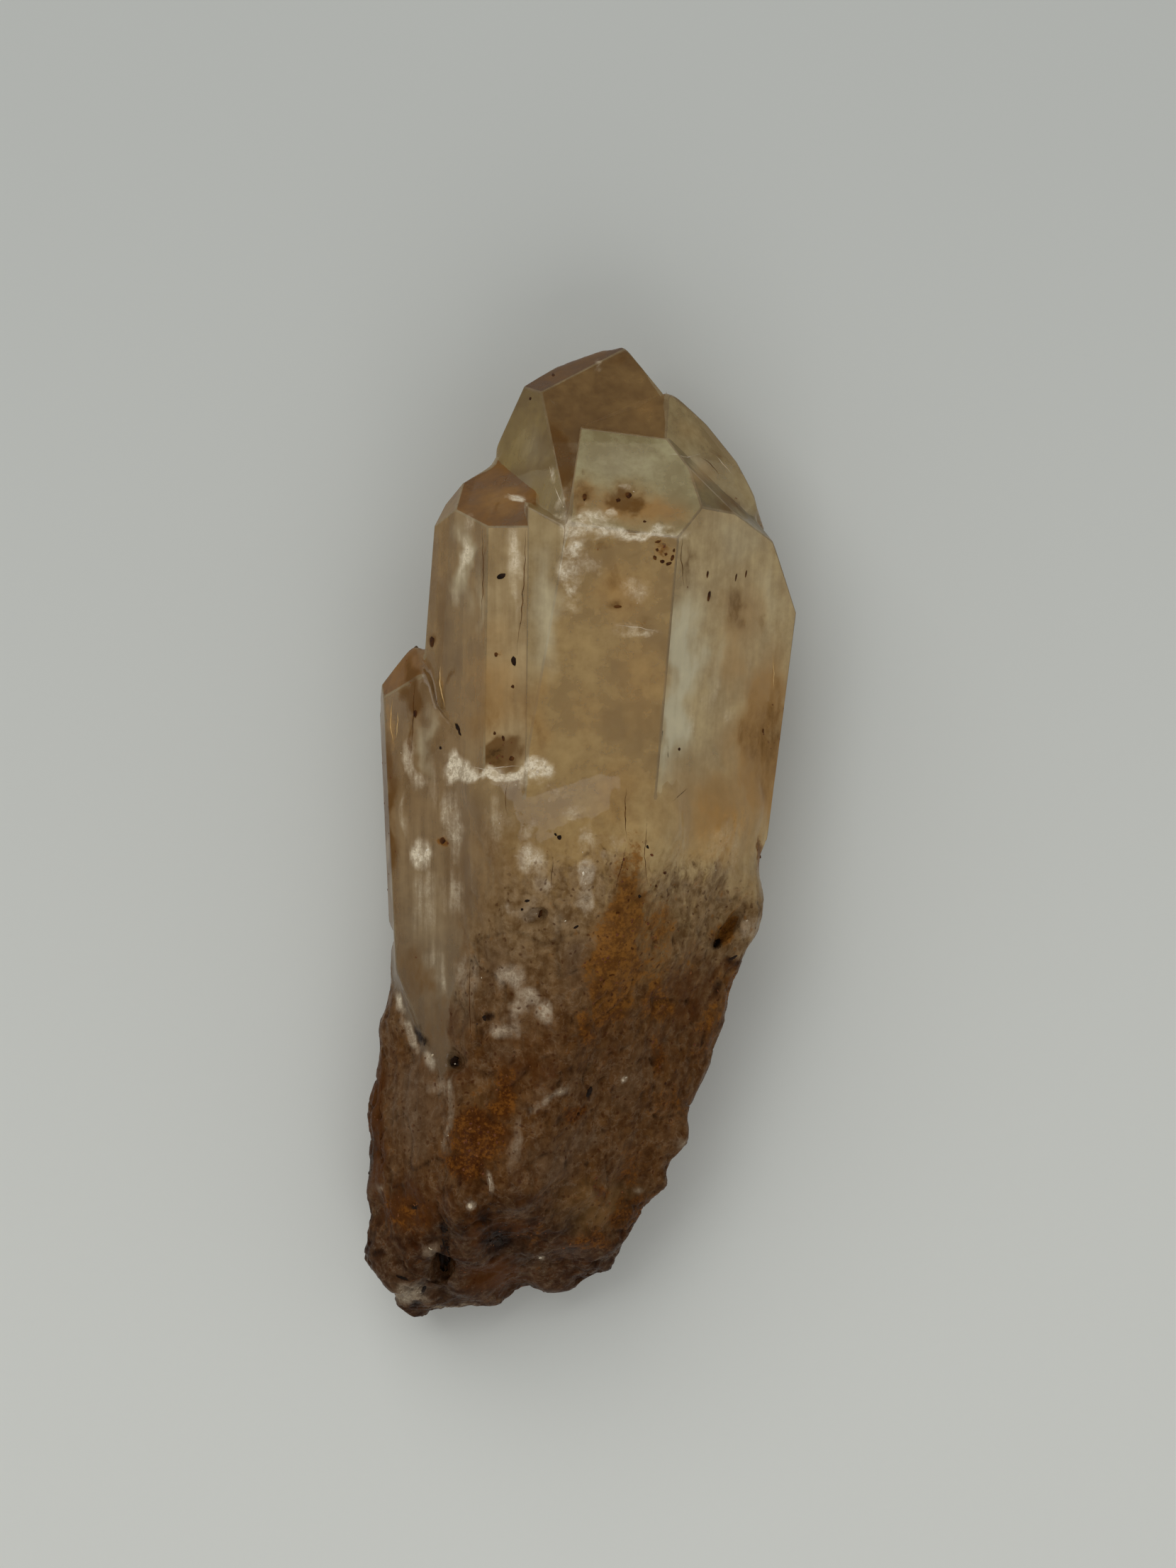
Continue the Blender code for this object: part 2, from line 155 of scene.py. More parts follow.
# %% A tree whose nodes come from one method
class Maker:
    """A node tree under construction."""

    def __init__(self, tree):
        self.tree = tree

    def node(self, kind, settings=None, inputs=None, output=0):
        """Add a node: settings first, then the values or wires of its sockets."""
        made = self.tree.nodes.new(kind)
        for name, value in (settings or {}).items():
            setattr(made, name, value)
        for name, value in (inputs or {}).items():
            if isinstance(value, Wire):
                self.tree.links.new(value.socket, made.inputs[name])
            else:
                made.inputs[name].default_value = value
        return Wire(self, made.outputs[output]) if len(made.outputs) else None


# %% A finish is a material under construction
class Finish(Maker):
    """A material whose nodes all come from node()."""

    def __init__(self, name):
        self.material = bpy.data.materials.new(name)
        self.material.use_nodes = True
        super().__init__(self.material.node_tree)
        self.tree.nodes.clear()

    def place_mm(self):
        """The object's own coordinates in millimetres."""
        metres = self.node("ShaderNodeTexCoord", output="Object")
        values = {0: metres, "Scale": 1.0 / MM}
        return self.node("ShaderNodeVectorMath", {"operation": "SCALE"}, values)

    def stretch(self, place, scale):
        """Coordinates multiplied axis by axis."""
        return self.node("ShaderNodeVectorMath", {"operation": "MULTIPLY"}, {0: place, 1: scale})

    def grain(self, place, scale, detail=3.0, roughness=0.55):
        """Fractal noise from 0 to 1; scale is in features per millimetre."""
        values = {"Vector": place, "Scale": scale, "Detail": detail, "Roughness": roughness}
        return self.node("ShaderNodeTexNoise", None, values)

    def dots(self, place, scale):
        """How far a place is from the middle of its random cell; other("Color") is its lot."""
        values = {"Vector": place, "Scale": scale}
        return self.node("ShaderNodeTexVoronoi", {"feature": "F1"}, values, output="Distance")

    def ease(self, value, start, end):
        """0 below start, 1 above end, and a smooth step between them."""
        values = {"Value": value, "From Min": start, "From Max": end}
        return self.node("ShaderNodeMapRange", {"interpolation_type": "SMOOTHSTEP"}, values)

    def mix(self, factor, shade_a, shade_b, blend="MIX"):
        """Two colours mixed."""
        settings = {"data_type": "RGBA", "blend_type": blend}
        values = {0: factor, 6: shade_a, 7: shade_b}
        return self.node("ShaderNodeMix", settings, values, output=2)

    def painted(self, name, output="Fac"):
        """A value painted on the mesh's points or corners."""
        return self.node("ShaderNodeAttribute", {"attribute_name": name}, output=output)

    def principled(self, values):
        """One principled surface."""
        return self.node("ShaderNodeBsdfPrincipled", None, values)

    def show(self, surface, more=None):
        """Show a surface, and perhaps a volume, as the material."""
        self.node("ShaderNodeOutputMaterial", None, {"Surface": surface, **(more or {})})


print("helpers ready: Wire, Maker and Finish")

# %% [markdown]
# ## Floor and light
# The floor is a plain pale sheet with painted light on it: lighter towards the broken foot
# and a little darker beyond the tip. The light is soft: a wide panel stands past the tip,
# to the left, and a weaker one past the broken foot. An even surround fills the rest, so
# that only weak shadows are left beside the stone.

# %% Pale floor just under the stone
FLOOR_SIDE = 2.4
FLOOR_GAP = 0.05 * MM
FLOOR_NEAR_PAINTED_LIGHT = (0.80, 0.815, 0.765, 1.0)
FLOOR_FAR_PAINTED_SHADE = (0.625, 0.645, 0.612, 1.0)
FLOOR_FIBRE = (0.62, 0.63, 0.59, 1.0)
FLOOR_PAINTED_LIGHT_ALONG = (-70.0, 75.0)
FIBRE_SHARE = 0.05

bpy.ops.mesh.primitive_plane_add(size=FLOOR_SIDE, location=(0.0, 0.0, -FLOOR_GAP))
floor = bpy.context.object
floor.name = "floor"
paper = Finish("pale_floor")
floor_spot = paper.place_mm()
floor_along = paper.node("ShaderNodeSeparateXYZ", None, {0: floor_spot}, output="Y")
# Painted light: the floor's colour is lighter towards the foot and darker beyond the tip.
floor_tone_and_painted_light = paper.mix(paper.ease(floor_along, *FLOOR_PAINTED_LIGHT_ALONG), FLOOR_NEAR_PAINTED_LIGHT, FLOOR_FAR_PAINTED_SHADE)
fibre = paper.grain(floor_spot, 1.4, detail=2.0) * FIBRE_SHARE
floor_tone_and_painted_light = paper.mix(fibre, floor_tone_and_painted_light, FLOOR_FIBRE)
paper.show(paper.principled({
    "Base Color": floor_tone_and_painted_light, "Roughness": 0.7, "Specular IOR Level": 0.2,
}))
floor.data.materials.append(paper.material)
print("floor of", FLOOR_SIDE, "m")


# %% Soft panels and an even surround
SURROUND_STRENGTH = 0.345


def panel(name, place, side, power):
    """A square light that faces the stone."""
    light = bpy.data.lights.new(name, "AREA")
    light.size = side
    light.energy = power
    lamp = in_scene(name, light)
    lamp.location = place
    lamp.rotation_euler = Vector(place).to_track_quat("Z", "Y").to_euler()


panel("panel_head", (-0.40, 0.64, 0.95), 1.00, 4.9)
panel("panel_foot", (0.10, -0.75, 0.75), 0.70, 2.0)
surround = bpy.data.worlds.new("surround")
surround.use_nodes = True
background = surround.node_tree.nodes["Background"].inputs
background["Color"].default_value = (1.0, 1.0, 1.0, 1.0)
background["Strength"].default_value = SURROUND_STRENGTH
scene.world = surround
print("two panels and a surround")

# %% [markdown]
# ## Finding the facets
# The solid arrives as loose triangles. After its doubles are merged, triangles that lie in
# one plane belong to one facet. A flat patch of a few square millimetres is a grown
# crystal face; the small ones are the rough base. That split decides which surface stays
# crisp and which one gets the fracture relief.

# %% Merge the triangles and group them into flat patches
WELD = 0.002
FLAT_WITHIN = math.radians(0.6)
SMALLEST_FACET = 5.0


def merged_copy(source):
    """A bmesh of a CAD node with its doubles merged."""
    mesh = bmesh.new()
    corners = [mesh.verts.new(point.co) for point in source.data.vertices]
    for triangle in source.data.polygons:
        mesh.faces.new([corners[index] for index in triangle.vertices])
    bmesh.ops.remove_doubles(mesh, verts=mesh.verts, dist=WELD * MM)
    mesh.normal_update()
    return mesh


def flat_patches(mesh):
    """Lists of faces that lie in one plane, found by flooding over flat edges."""
    waiting = set(mesh.faces)
    patches = []
    for first in mesh.faces:
        if first not in waiting:
            continue
        waiting.remove(first)
        patch = [first]
        reached = [first]
        while reached:
            face = reached.pop()
            for other in [near for edge in face.edges for near in edge.link_faces]:
                if other in waiting and other.normal.angle(first.normal, 0.0) < FLAT_WITHIN:
                    waiting.remove(other)
                    patch.append(other)
                    reached.append(other)
        patches.append(patch)
    return patches


stone = merged_copy(solid)
patches = flat_patches(stone)
facets = [
    patch for patch in patches
    if sum(face.calc_area() for face in patch) > SMALLEST_FACET * MM * MM
]
print(len(stone.faces), "triangles,", len(facets), "crystal facets")

# %% [markdown]
# ## The colour of each face
# Each face shows another depth of quartz, so each one has its own tone: the end face of
# the front crystal is a pale grey-green window, the tip behind it is a dark smoky brown.
# The window's pale tint also holds a painted reflection of the light above it.
# A face is named by a place above it. A ray from that place straight down finds the
# facet, which then gets a tint, a share of haze and a share of streaks along the crystal.

# %% Named faces: place above them, tint, share of haze, share of streaks
FACES = {
    "tip front": ((1.5, 30.1), (0.30, 0.172, 0.056), 0.56, 0.15),
    "tip left": ((-3.2, 27.4), (0.39, 0.265, 0.080), 0.48, 0.3),
    "tip rim": ((-0.9, 32.3), (0.155, 0.068, 0.014), 0.80, 0.2),
    "shoulder end": ((9.2, 26.6), (0.565, 0.42, 0.185), 0.50, 0.2),
    # The window's pale tint is partly its own tone and partly a painted reflection of the light above.
    "window": ((3.0, 25.7), (0.60, 0.515, 0.26), 0.46, 0.1),
    "small right end": ((10.4, 23.0), (0.17, 0.112, 0.027), 0.72, 0.1),
    "small right slope": ((8.8, 23.2), (0.21, 0.145, 0.045), 0.70, 0.1),
    "right side": ((9.9, 13.6), (0.74, 0.54, 0.25), 0.50, 0.35),
    "front top": ((2.5, 11.1), (0.52, 0.335, 0.120), 0.52, 0.12),
    "shallow facet": ((-2.7, 13.6), (0.48, 0.34, 0.15), 0.54, 0.35),
    "shelf end": ((-2.5, 22.1), (0.40, 0.28, 0.12), 0.55, 0.3),
    "left end": ((-5.6, 23.6), (0.215, 0.095, 0.018), 0.78, 0.2),
    "far left end": ((-8.6, 22.6), (0.26, 0.15, 0.050), 0.74, 0.3),
    "left top": ((-4.8, 16.0), (0.56, 0.395, 0.185), 0.56, 0.5),
    "left side": ((-7.6, 16.0), (0.36, 0.22, 0.085), 0.56, 0.55),
    "small top": ((-11.5, 6.2), (0.32, 0.195, 0.08), 0.58, 0.55),
    "small left end": ((-12.3, 11.2), (0.25, 0.12, 0.035), 0.74, 0.3),
}
OTHER_FACE = ((0.33, 0.205, 0.082), 0.56, 0.5)
RESTING = ((0.38, 0.25, 0.11), 0.20, 0.3)
WORN_EDGE = ((0.38, 0.27, 0.13), 0.56, 0.5)
RAY_FROM = 60.0
DOWN = Vector((0.0, 0.0, -1.0))
RESTING_NORMAL = -0.999


def met_from_above(tree, x, y):
    """What a ray straight down at x, y, in millimetres, meets: place, normal, face."""
    return tree.ray_cast(Vector((x, y, RAY_FROM)) * MM, DOWN)[:3]


stone.faces.ensure_lookup_table()
stone.faces.index_update()
face_of = {face.index: number for number, patch in enumerate(facets) for face in patch}
facet_tree = BVHTree.FromBMesh(stone)
look_of = {number: OTHER_FACE for number in range(len(facets))}
for number, patch in enumerate(facets):
    if patch[0].normal.z < RESTING_NORMAL and patch[0].verts[0].co.z < WELD * MM:
        look_of[number] = RESTING
number_of = {}
for name, (place, tint, haze, streaks) in FACES.items():
    number_of[name] = face_of.get(met_from_above(facet_tree, *place)[2])
    look_of[number_of[name]] = (tint, haze, streaks)
    print(f"{name:17s} facet {number_of[name]}")

# %% [markdown]
# ## Rounding the edges
# Real quartz edges are never knife sharp: growth and handling round them by about a tenth
# of a millimetre, and that narrow strip is what catches the light. Only edges between two
# grown faces are bevelled. Where the base meets a crystal there is no such edge. After the
# bevel a fresh copy of the mesh carries on, because only then do its triangles come in the
# same order on each run.

# %% Make each facet one face, then bevel the edges between them
EDGE_WIDTH = 0.10
EDGE_STEPS = 2
EDGE_PROFILE = 0.6
BLUNT_ANGLE = math.radians(8.0)
SHORT_EDGE = 0.8
ROUGH = -1
ROUNDED = -2

facet_of = stone.faces.layers.int.new("facet")
for face in stone.faces:
    face[facet_of] = face_of.get(face.index, ROUGH)


def sides_of(edge):
    """The facet numbers on both sides of an edge."""
    return [face[facet_of] for face in edge.link_faces]


inner_edges = [
    edge for edge in stone.edges
    if len(set(sides_of(edge))) == 1 and ROUGH not in sides_of(edge)
]
inner_points = [
    point for point in stone.verts
    if all(face[facet_of] != ROUGH for face in point.link_faces)
]
bmesh.ops.dissolve_limit(
    stone, verts=inner_points, edges=inner_edges, angle_limit=2.0 * FLAT_WITHIN
)
grown_edges = [
    edge for edge in stone.edges
    if len(set(sides_of(edge))) == 2 and ROUGH not in sides_of(edge)
    and edge.calc_length() > SHORT_EDGE * MM and edge.calc_face_angle_signed(0.0) > BLUNT_ANGLE
]
bevelled = bmesh.ops.bevel(
    stone, geom=grown_edges, offset=EDGE_WIDTH * MM, offset_type="OFFSET",
    segments=EDGE_STEPS, profile=EDGE_PROFILE, affect="EDGES", clamp_overlap=False,
)
for face in bevelled["faces"]:
    face[facet_of] = ROUNDED
print(len(grown_edges), "edges rounded with", len(bevelled["faces"]), "narrow faces")

# %% Make them triangles again, in an order that is the same on each run
worked = stone
stone = worked.copy()
worked.free()
facet_of = stone.faces.layers.int["facet"]
hollow_of = stone.verts.layers.float.new("hollow")
rough_of = stone.verts.layers.float.new("rough")
bmesh.ops.triangulate(stone, faces=stone.faces)
print(len(stone.faces), "triangles")

# %% [markdown]
# ## The broken base
# The base is a fracture: splinters run along the crystals, and the lower end is broken in
# small ledges. Its solid is coarse on purpose. Here its triangles are split until they are
# a third of a millimetre long, relaxed so that the old facets vanish, and then moved by
# layered noise. The noise leaves alone the points that a crystal face also uses. Crystal
# faces are split too, because the stains are painted on the corners of triangles.

# %% Split the long edges
FINE_EDGE = 0.34
FACET_EDGE = 0.50
HIDDEN_EDGE = 1.40
HIDDEN_NORMAL = -0.2
SPLIT_ROUNDS = 8
RELAX_ROUNDS = 10


def is_rough(face):
    return face[facet_of] == ROUGH


def longest(face):
    """How long an edge may be on a face: the base is finest, the underside coarsest."""
    if is_rough(face):
        return FINE_EDGE
    return FACET_EDGE if face.normal.z > HIDDEN_NORMAL else HIDDEN_EDGE


def is_long(edge):
    return edge.calc_length() > min(map(longest, edge.link_faces)) * MM


def split_long_edges(mesh):
    """One round of splitting; says how many edges were too long."""
    long_edges = [edge for edge in mesh.edges if is_long(edge)]
    if long_edges:
        bmesh.ops.subdivide_edges(mesh, edges=long_edges, cuts=1)
        bmesh.ops.triangulate(mesh, faces=[face for face in mesh.faces if len(face.verts) > 3])
        mesh.normal_update()
    return len(long_edges)


for _ in range(SPLIT_ROUNDS):
    if not split_long_edges(stone):
        break
print(len(stone.faces), "triangles")

# %% Relax the base, and let the crystals run into it without a step
FLOOR_BAND = 0.02
MELT_NEAR = 0.5
MELT_FAR = 2.4


def step_between(start, end, value):
    """0 at start, 1 at end, smooth between."""
    share = min(1.0, max(0.0, (value - start) / (end - start)))
    return share * share * (3.0 - 2.0 * share)


def tree_of(points):
    """A tree that finds the nearest of some points."""
    tree = KDTree(len(points))
    for number, point in enumerate(points):
        tree.insert(point.co, number)
    tree.balance()
    return tree


rim_points, free_points, crystal_points = [], [], []
for point in stone.verts:
    rough_sides = sum(map(is_rough, point.link_faces))
    if 0 < rough_sides < len(point.link_faces):
        rim_points.append(point)
    elif point.co.z > FLOOR_BAND * MM:
        (free_points if rough_sides else crystal_points).append(point)
rim = tree_of(rim_points)
rim_distance = {point: rim.find(point.co)[2] / MM for point in free_points + crystal_points}
melting = [(point, point.co.copy()) for point in crystal_points if rim_distance[point] < MELT_FAR]
upper_rim = [point for point in rim_points if point.co.z > FLOOR_BAND * MM]
relaxed = free_points + [point for point, _ in melting] + upper_rim
for _ in range(RELAX_ROUNDS):
    bmesh.ops.smooth_vert(
        stone, verts=relaxed, factor=0.5, use_axis_x=True, use_axis_y=True, use_axis_z=True
    )
for point, place in melting:
    point.co = point.co.lerp(place, step_between(MELT_NEAR, MELT_FAR, rim_distance[point]))
print(len(free_points), "free points on the base,", len(melting), "points melt into it")

# %% Relief of the fracture, in millimetres
GROOVE_WAVE = Vector((0.75, 6.0, 0.75))
GROOVE_DEPTH = 0.07
LUMP_WAVE = 2.3
LUMP_DEPTH = 0.20
GRAIN_WAVE = 0.65
GRAIN_DEPTH = 0.05
LEDGE_WAVE = 2.6
LEDGE_STEPS = 5
LEDGE_DEPTH = 0.55
LEDGE_RISE = (0.55, 0.95)
POCK_WAVE = 1.5
POCK_REACH = 0.30
POCK_DEPTH = 0.22
POCK_LOT_SCALE = 3.7
POCK_LOT_FROM = 0.1
CRACK_WAVE = 3.4
CRACK_WIDTH = 0.035
CRACK_DEPTH = 0.16
BREAK_FROM = -22.0
BREAK_TO = -27.0
SMOOTH_FROM = 2.0
SMOOTH_TO = -10.0
GROOVE_SHIFT = Vector((3.1, 0.4, 7.7))
LEDGE_SHIFT = Vector((9.2, 5.5, 1.3))
CRACK_SHIFT = Vector((0.7, 8.8, 4.1))
GRAIN_SHIFT = Vector((6.0, 2.2, 9.9))


# The last three numbers of noise.fractal say how fast its layers fade, how much finer each
# one is and how many there are.
def grooves(place):
    narrow = Vector(place[axis] / GROOVE_WAVE[axis] for axis in range(3))
    return noise.fractal(narrow + GROOVE_SHIFT, 0.8, 2.0, 3) * GROOVE_DEPTH


def ledges(place):
    height = noise.noise(place / LEDGE_WAVE + LEDGE_SHIFT) * LEDGE_STEPS
    whole = math.floor(height)
    return (whole + step_between(*LEDGE_RISE, height - whole)) / LEDGE_STEPS * LEDGE_DEPTH


def pocks(place):
    far, near = noise.voronoi(place / POCK_WAVE)
    chosen = noise.cell(near[0] * POCK_LOT_SCALE) > POCK_LOT_FROM
    return -POCK_DEPTH * step_between(POCK_REACH, 0.0, far[0]) if chosen else 0.0


def cracks(place):
    line = abs(noise.noise(place / CRACK_WAVE + CRACK_SHIFT))
    return -CRACK_DEPTH * step_between(CRACK_WIDTH, 0.0, line)


def relief(place):
    """How far the fracture stands out at a place, and the fine part of that."""
    broken = step_between(BREAK_FROM, BREAK_TO, place.y)
    worn = 0.3 + 0.7 * step_between(SMOOTH_FROM, SMOOTH_TO, place.y)
    grain = noise.fractal(place / GRAIN_WAVE + GRAIN_SHIFT, 0.7, 2.1, 4) * GRAIN_DEPTH
    grain = grain * (1.0 + broken)
    steps = ledges(place) * broken
    dents = grooves(place) * (1.0 - broken) + pocks(place) + cracks(place)
    fine = (dents + grain) * worn + steps * 0.5
    coarse = noise.fractal(place / LUMP_WAVE, 1.0, 2.0, 2) * LUMP_DEPTH * worn + steps * 0.5
    return coarse + fine, fine


print("relief of grooves, ledges, pocks, cracks and grain ready")

# %% Move the free points and remember the hollows
RAMP = 0.9
HOLLOW_DEPTH = 0.28
OUTWARD_LIMIT = 0.12

stone.normal_update()


def moved(point):
    """The new place of a free point, and how deep in a hollow it then lies."""
    share = step_between(0.0, RAMP, rim_distance[point]) * step_between(0.0, RAMP, point.co.z / MM)
    height, fine = relief(point.co / MM)
    place = point.co + point.normal * min(height, OUTWARD_LIMIT) * share * MM
    limits = zip(low_corner, place, high_corner)
    inside = Vector(min(high, max(low, value)) for low, value, high in limits)
    return inside, min(1.0, max(0.0, -fine / HOLLOW_DEPTH * share))


new_places = [moved(point) for point in free_points]
for point, (place, hollow) in zip(free_points, new_places):
    point.co = place
    point[hollow_of] = hollow
print(f"{sum(hollow > 0.5 for _, hollow in new_places)} points lie in hollows")

# %% How far the base's own colour has taken over
FADE_NEAR_TIP = 9.0
FADE_NEAR_FOOT = 1.2
FADE_FROM = 1.0
FADE_TO = -12.0

for point in free_points:
    down_the_base = step_between(FADE_FROM, FADE_TO, point.co.y / MM)
    fade = FADE_NEAR_TIP + (FADE_NEAR_FOOT - FADE_NEAR_TIP) * down_the_base
    point[rough_of] = step_between(0.0, fade, rim_distance[point])
for point in stone.verts:
    if point.co.z <= FLOOR_BAND * MM and all(map(is_rough, point.link_faces)):
        point[rough_of] = 1.0
print(f"the base's colour is whole at {sum(point[rough_of] > 0.99 for point in free_points)} points")

# %% [markdown]
# ## The finished mesh
# A facet of quartz is flat up to its rim, so its normals must not blend into its
# neighbour's, while the rounded strips and the fracture do shade smoothly. The looks go on
# the corners of the triangles, where two faces that share an edge can still differ. The
# base borrows a blend of the looks of the crystals next to it. Further down, the shader
# lets the base's own colour take over.

# %% Which edges shade smoothly
FLAT_MEETING = math.radians(3.0)
ROUGH_CREASE = math.radians(50.0)


def is_smooth(edge):
    """Rounded strips and fracture shade smoothly; a facet stays flat to its rim."""
    first, second = (sides_of(edge) * 2)[:2]
    angle = edge.calc_face_angle(0.0)
    if first == second or ROUGH in (first, second):
        return angle < ROUGH_CREASE
    return angle < FLAT_MEETING


for edge in stone.edges:
    edge.smooth = is_smooth(edge)
for face in stone.faces:
    face.smooth = True
print(sum(not edge.smooth for edge in stone.edges), "edges stay crisp")

# %% The base borrows the looks of the crystals next to it
BLEND_COUNT = 24
BLEND_NEAR = 0.4
look_of[ROUNDED] = WORN_EDGE


def own_facet(point):
    """The facet that a point on the rim of the base belongs to."""
    return max(face[facet_of] for face in point.link_faces)


def flat_look(facet):
    """Tint, haze and streaks of a facet in one row."""
    tint, haze, streaks = look_of[facet]
    return (*tint, haze, streaks)


grown_rim = [point for point in rim_points if own_facet(point) >= 0]
grown_tree = tree_of(grown_rim)
grown_looks = [flat_look(own_facet(point)) for point in grown_rim]


def borrowed_look(point):
    """On the base, a blend of the looks of the crystals next to a point."""
    found = grown_tree.find_n(point.co, BLEND_COUNT)
    shares = [1.0 / (away / MM + BLEND_NEAR) ** 2 for _, _, away in found]
    return np.average([grown_looks[number] for _, number, _ in found], axis=0, weights=shares)


base_points = {point for face in stone.faces if is_rough(face) for point in face.verts}
borrowed = {point: borrowed_look(point) for point in base_points}
print(len(borrowed), "points borrow a look from", len(grown_rim), "on the rim")

# %% Write the mesh and its looks
corner_looks = []
for face in stone.faces:
    if is_rough(face):
        corner_looks.extend(borrowed[point] for point in face.verts)
    else:
        corner_looks.extend([flat_look(face[facet_of])] * 3)
corner_looks = np.array(corner_looks)
quartz_mesh = bpy.data.meshes.new("quartz")
stone.to_mesh(quartz_mesh)
stone.free()
look = quartz_mesh.attributes.new("look", "FLOAT_COLOR", "CORNER")
look.data.foreach_set("color", corner_looks[:, :4].ravel())
streak_share = quartz_mesh.attributes.new("streaky", "FLOAT", "CORNER")
streak_share.data.foreach_set("value", corner_looks[:, 4])
quartz = in_scene("quartz", quartz_mesh)
print("quartz has", len(quartz_mesh.polygons), "triangles")

# %% [markdown]
# ## Stains, clouds, frost and painted glints
# Iron stain, honey and smoky clouds and white frost sit at places of their own. A few of
# the pale marks are painted glints and a painted reflection of the light. Each one is an
# oval soft spot, painted on the corners of the mesh, so it stays on the stone from every
# side. Some are kept to one crystal face, whose edge cuts them off as on the real stone.
# The coordinates are bent by noise first, which turns the plain ovals into ragged clouds.
# A small mark is bent less than a large one, so that it stays where it belongs.

# %% Warm clouds on the crystals: middle x, y; half sizes; turn; strength; face
HONEY = [
    (5.1, 21.8, 2.9, 1.6, -8, 1.35, "window"), (2.6, 22.5, 3.0, 1.9, 0, 1.2, "window"),
    (0.3, 23.0, 1.5, 1.8, 0, 1.2, "window"), (2.9, 16.5, 2.5, 2.2, 10, 0.8),
    (3.9, 10.5, 2.4, 3.6, 0, 0.45), (2.8, 2.6, 2.2, 2.8, 0, 0.5), (0.6, 8.2, 1.5, 2.4, 0, 0.25),
    (10.9, 14.4, 2.0, 3.8, -6, 0.8), (10.6, 11.4, 1.8, 2.4, 0, 0.8), (12.8, 8.6, 2.2, 5.2, -4, 1.4),
    (12.4, 4.6, 3.2, 5.4, 0, 1.5), (9.4, 1.6, 4.4, 3.8, 0, 1.2), (-6.0, 9.6, 2.6, 3.2, 0, 0.85),
    (-6.0, 13.4, 1.6, 1.6, 0, 0.35), (-5.6, 23.2, 1.6, 1.2, 0, 0.4), (-13.1, 7.4, 0.25, 2.4, 0, 0.8),
    (-9.65, 10.4, 0.15, 1.2, 0, 0.9), (4.6, 29.4, 1.0, 0.9, 0, 0.35), (7.4, 27.9, 1.2, 0.8, -40, 0.3),
    (8.4, 25.0, 1.0, 1.0, 0, 0.5), (6.9, 3.6, 1.6, 1.8, 0, 0.6), (-3.1, 8.2, 1.3, 3.4, 0, 0.6),
    (13.4, 6.0, 1.6, 3.4, 0, 0.7), (1.6, -25.8, 3.6, 2.2, 12, 0.2), (-7.0, -19.8, 1.8, 3.4, 12, 0.10),
]
SMOKY = [
    (3.2, 22.9, 1.5, 1.25, 0, 1.1, "window"), (0.3, 23.15, 0.34, 0.5, 0, 1.2, "window"),
    (0.0, 23.3, 1.2, 1.4, 0, 0.75, "window"), (-1.5, 26.0, 1.3, 3.0, 8, 1.4, "tip front"),
    (0.2, 24.8, 0.3, 0.36, 0, 0.9), (2.7, 24.2, 0.45, 0.22, 0, 0.7), (4.3, 21.6, 0.9, 0.35, -8, 0.5),
    (1.5, 19.8, 0.9, 0.5, 0, 0.7), (2.5, 17.2, 1.0, 1.2, 0, 0.75), (2.3, 15.6, 0.9, 0.45, 0, 1.0),
    (4.4, 14.7, 0.6, 0.35, 0, 0.6), (3.6, 15.6, 0.5, 0.4, 0, 0.6), (7.3, 18.4, 0.50, 2.3, -8, 0.8),
    (7.8, 19.1, 0.4, 0.6, 0, 0.7), (8.8, 16.3, 0.20, 0.6, -10, 1.0), (8.7, 17.9, 0.15, 0.35, 0, 0.9),
    (10.6, 15.9, 0.8, 2.6, -6, 0.8), (11.1, 14.5, 0.6, 0.8, 0, 0.7), (12.5, 15.0, 0.35, 0.9, 0, 0.6),
    (13.5, 7.2, 1.3, 3.4, -3, 0.7), (12.8, 6.2, 2.4, 4.2, 0, 0.72), (-13.7, 1.0, 0.8, 9.0, 0, 1.1),
    (13.6, 10.4, 0.4, 1.6, 0, 0.5), (11.9, 4.4, 1.2, 0.9, 0, 0.45), (9.7, 5.2, 0.5, 0.9, 0, 0.45),
    (12.8, 3.0, 0.9, 1.4, 0, 0.5), (9.9, 0.6, 0.9, 0.6, 0, 0.35), (-5.7, 22.6, 0.22, 0.6, 0, 0.7),
    (-6.8, 18.4, 0.20, 2.8, 0, 0.55), (-5.7, 5.55, 2.2, 1.15, 0, 1.9, "left top"),
    (-5.0, -0.6, 3.0, 2.6, 0, 0.5), (-6.5, 8.4, 1.8, 2.8, 0, 0.55), (-4.2, 8.8, 0.6, 2.4, 0, 0.55),
    (-3.2, 7.8, 1.0, 3.0, 0, 0.45), (-9.1, 10.7, 0.32, 1.2, -16, 0.95),
    (-10.3, 13.5, 0.35, 0.6, 0, 1.0), (-11.6, 11.2, 0.45, 1.2, 0, 0.9),
    (-11.45, 8.7, 0.65, 0.95, 0, 1.6), (-11.5, 10.1, 0.6, 2.6, 0, 1.2), (-11.7, 6.2, 0.3, 2.6, 0, 0.9),
    (-11.6, 2.6, 0.9, 1.6, 0, 0.35), (-12.9, 1.2, 0.20, 3.2, 0, 0.5), (-11.4, -9.8, 1.3, 2.6, 6, 0.7),
    (2.7, 33.0, 0.9, 0.5, 0, 0.6), (-0.9, 28.2, 1.2, 0.9, 0, 0.35), (-2.6, 24.2, 0.9, 0.6, 0, 0.35),
    (10.5, 22.9, 1.6, 0.85, -22, 0.75), (9.4, 26.3, 0.9, 0.25, -35, 0.6),
    (-9.6, -13.0, 2.2, 3.0, 0, 0.55), (-8.0, -8.0, 0.35, 4.5, 0, 0.5),
]
print(len(HONEY) + len(SMOKY), "warm clouds")
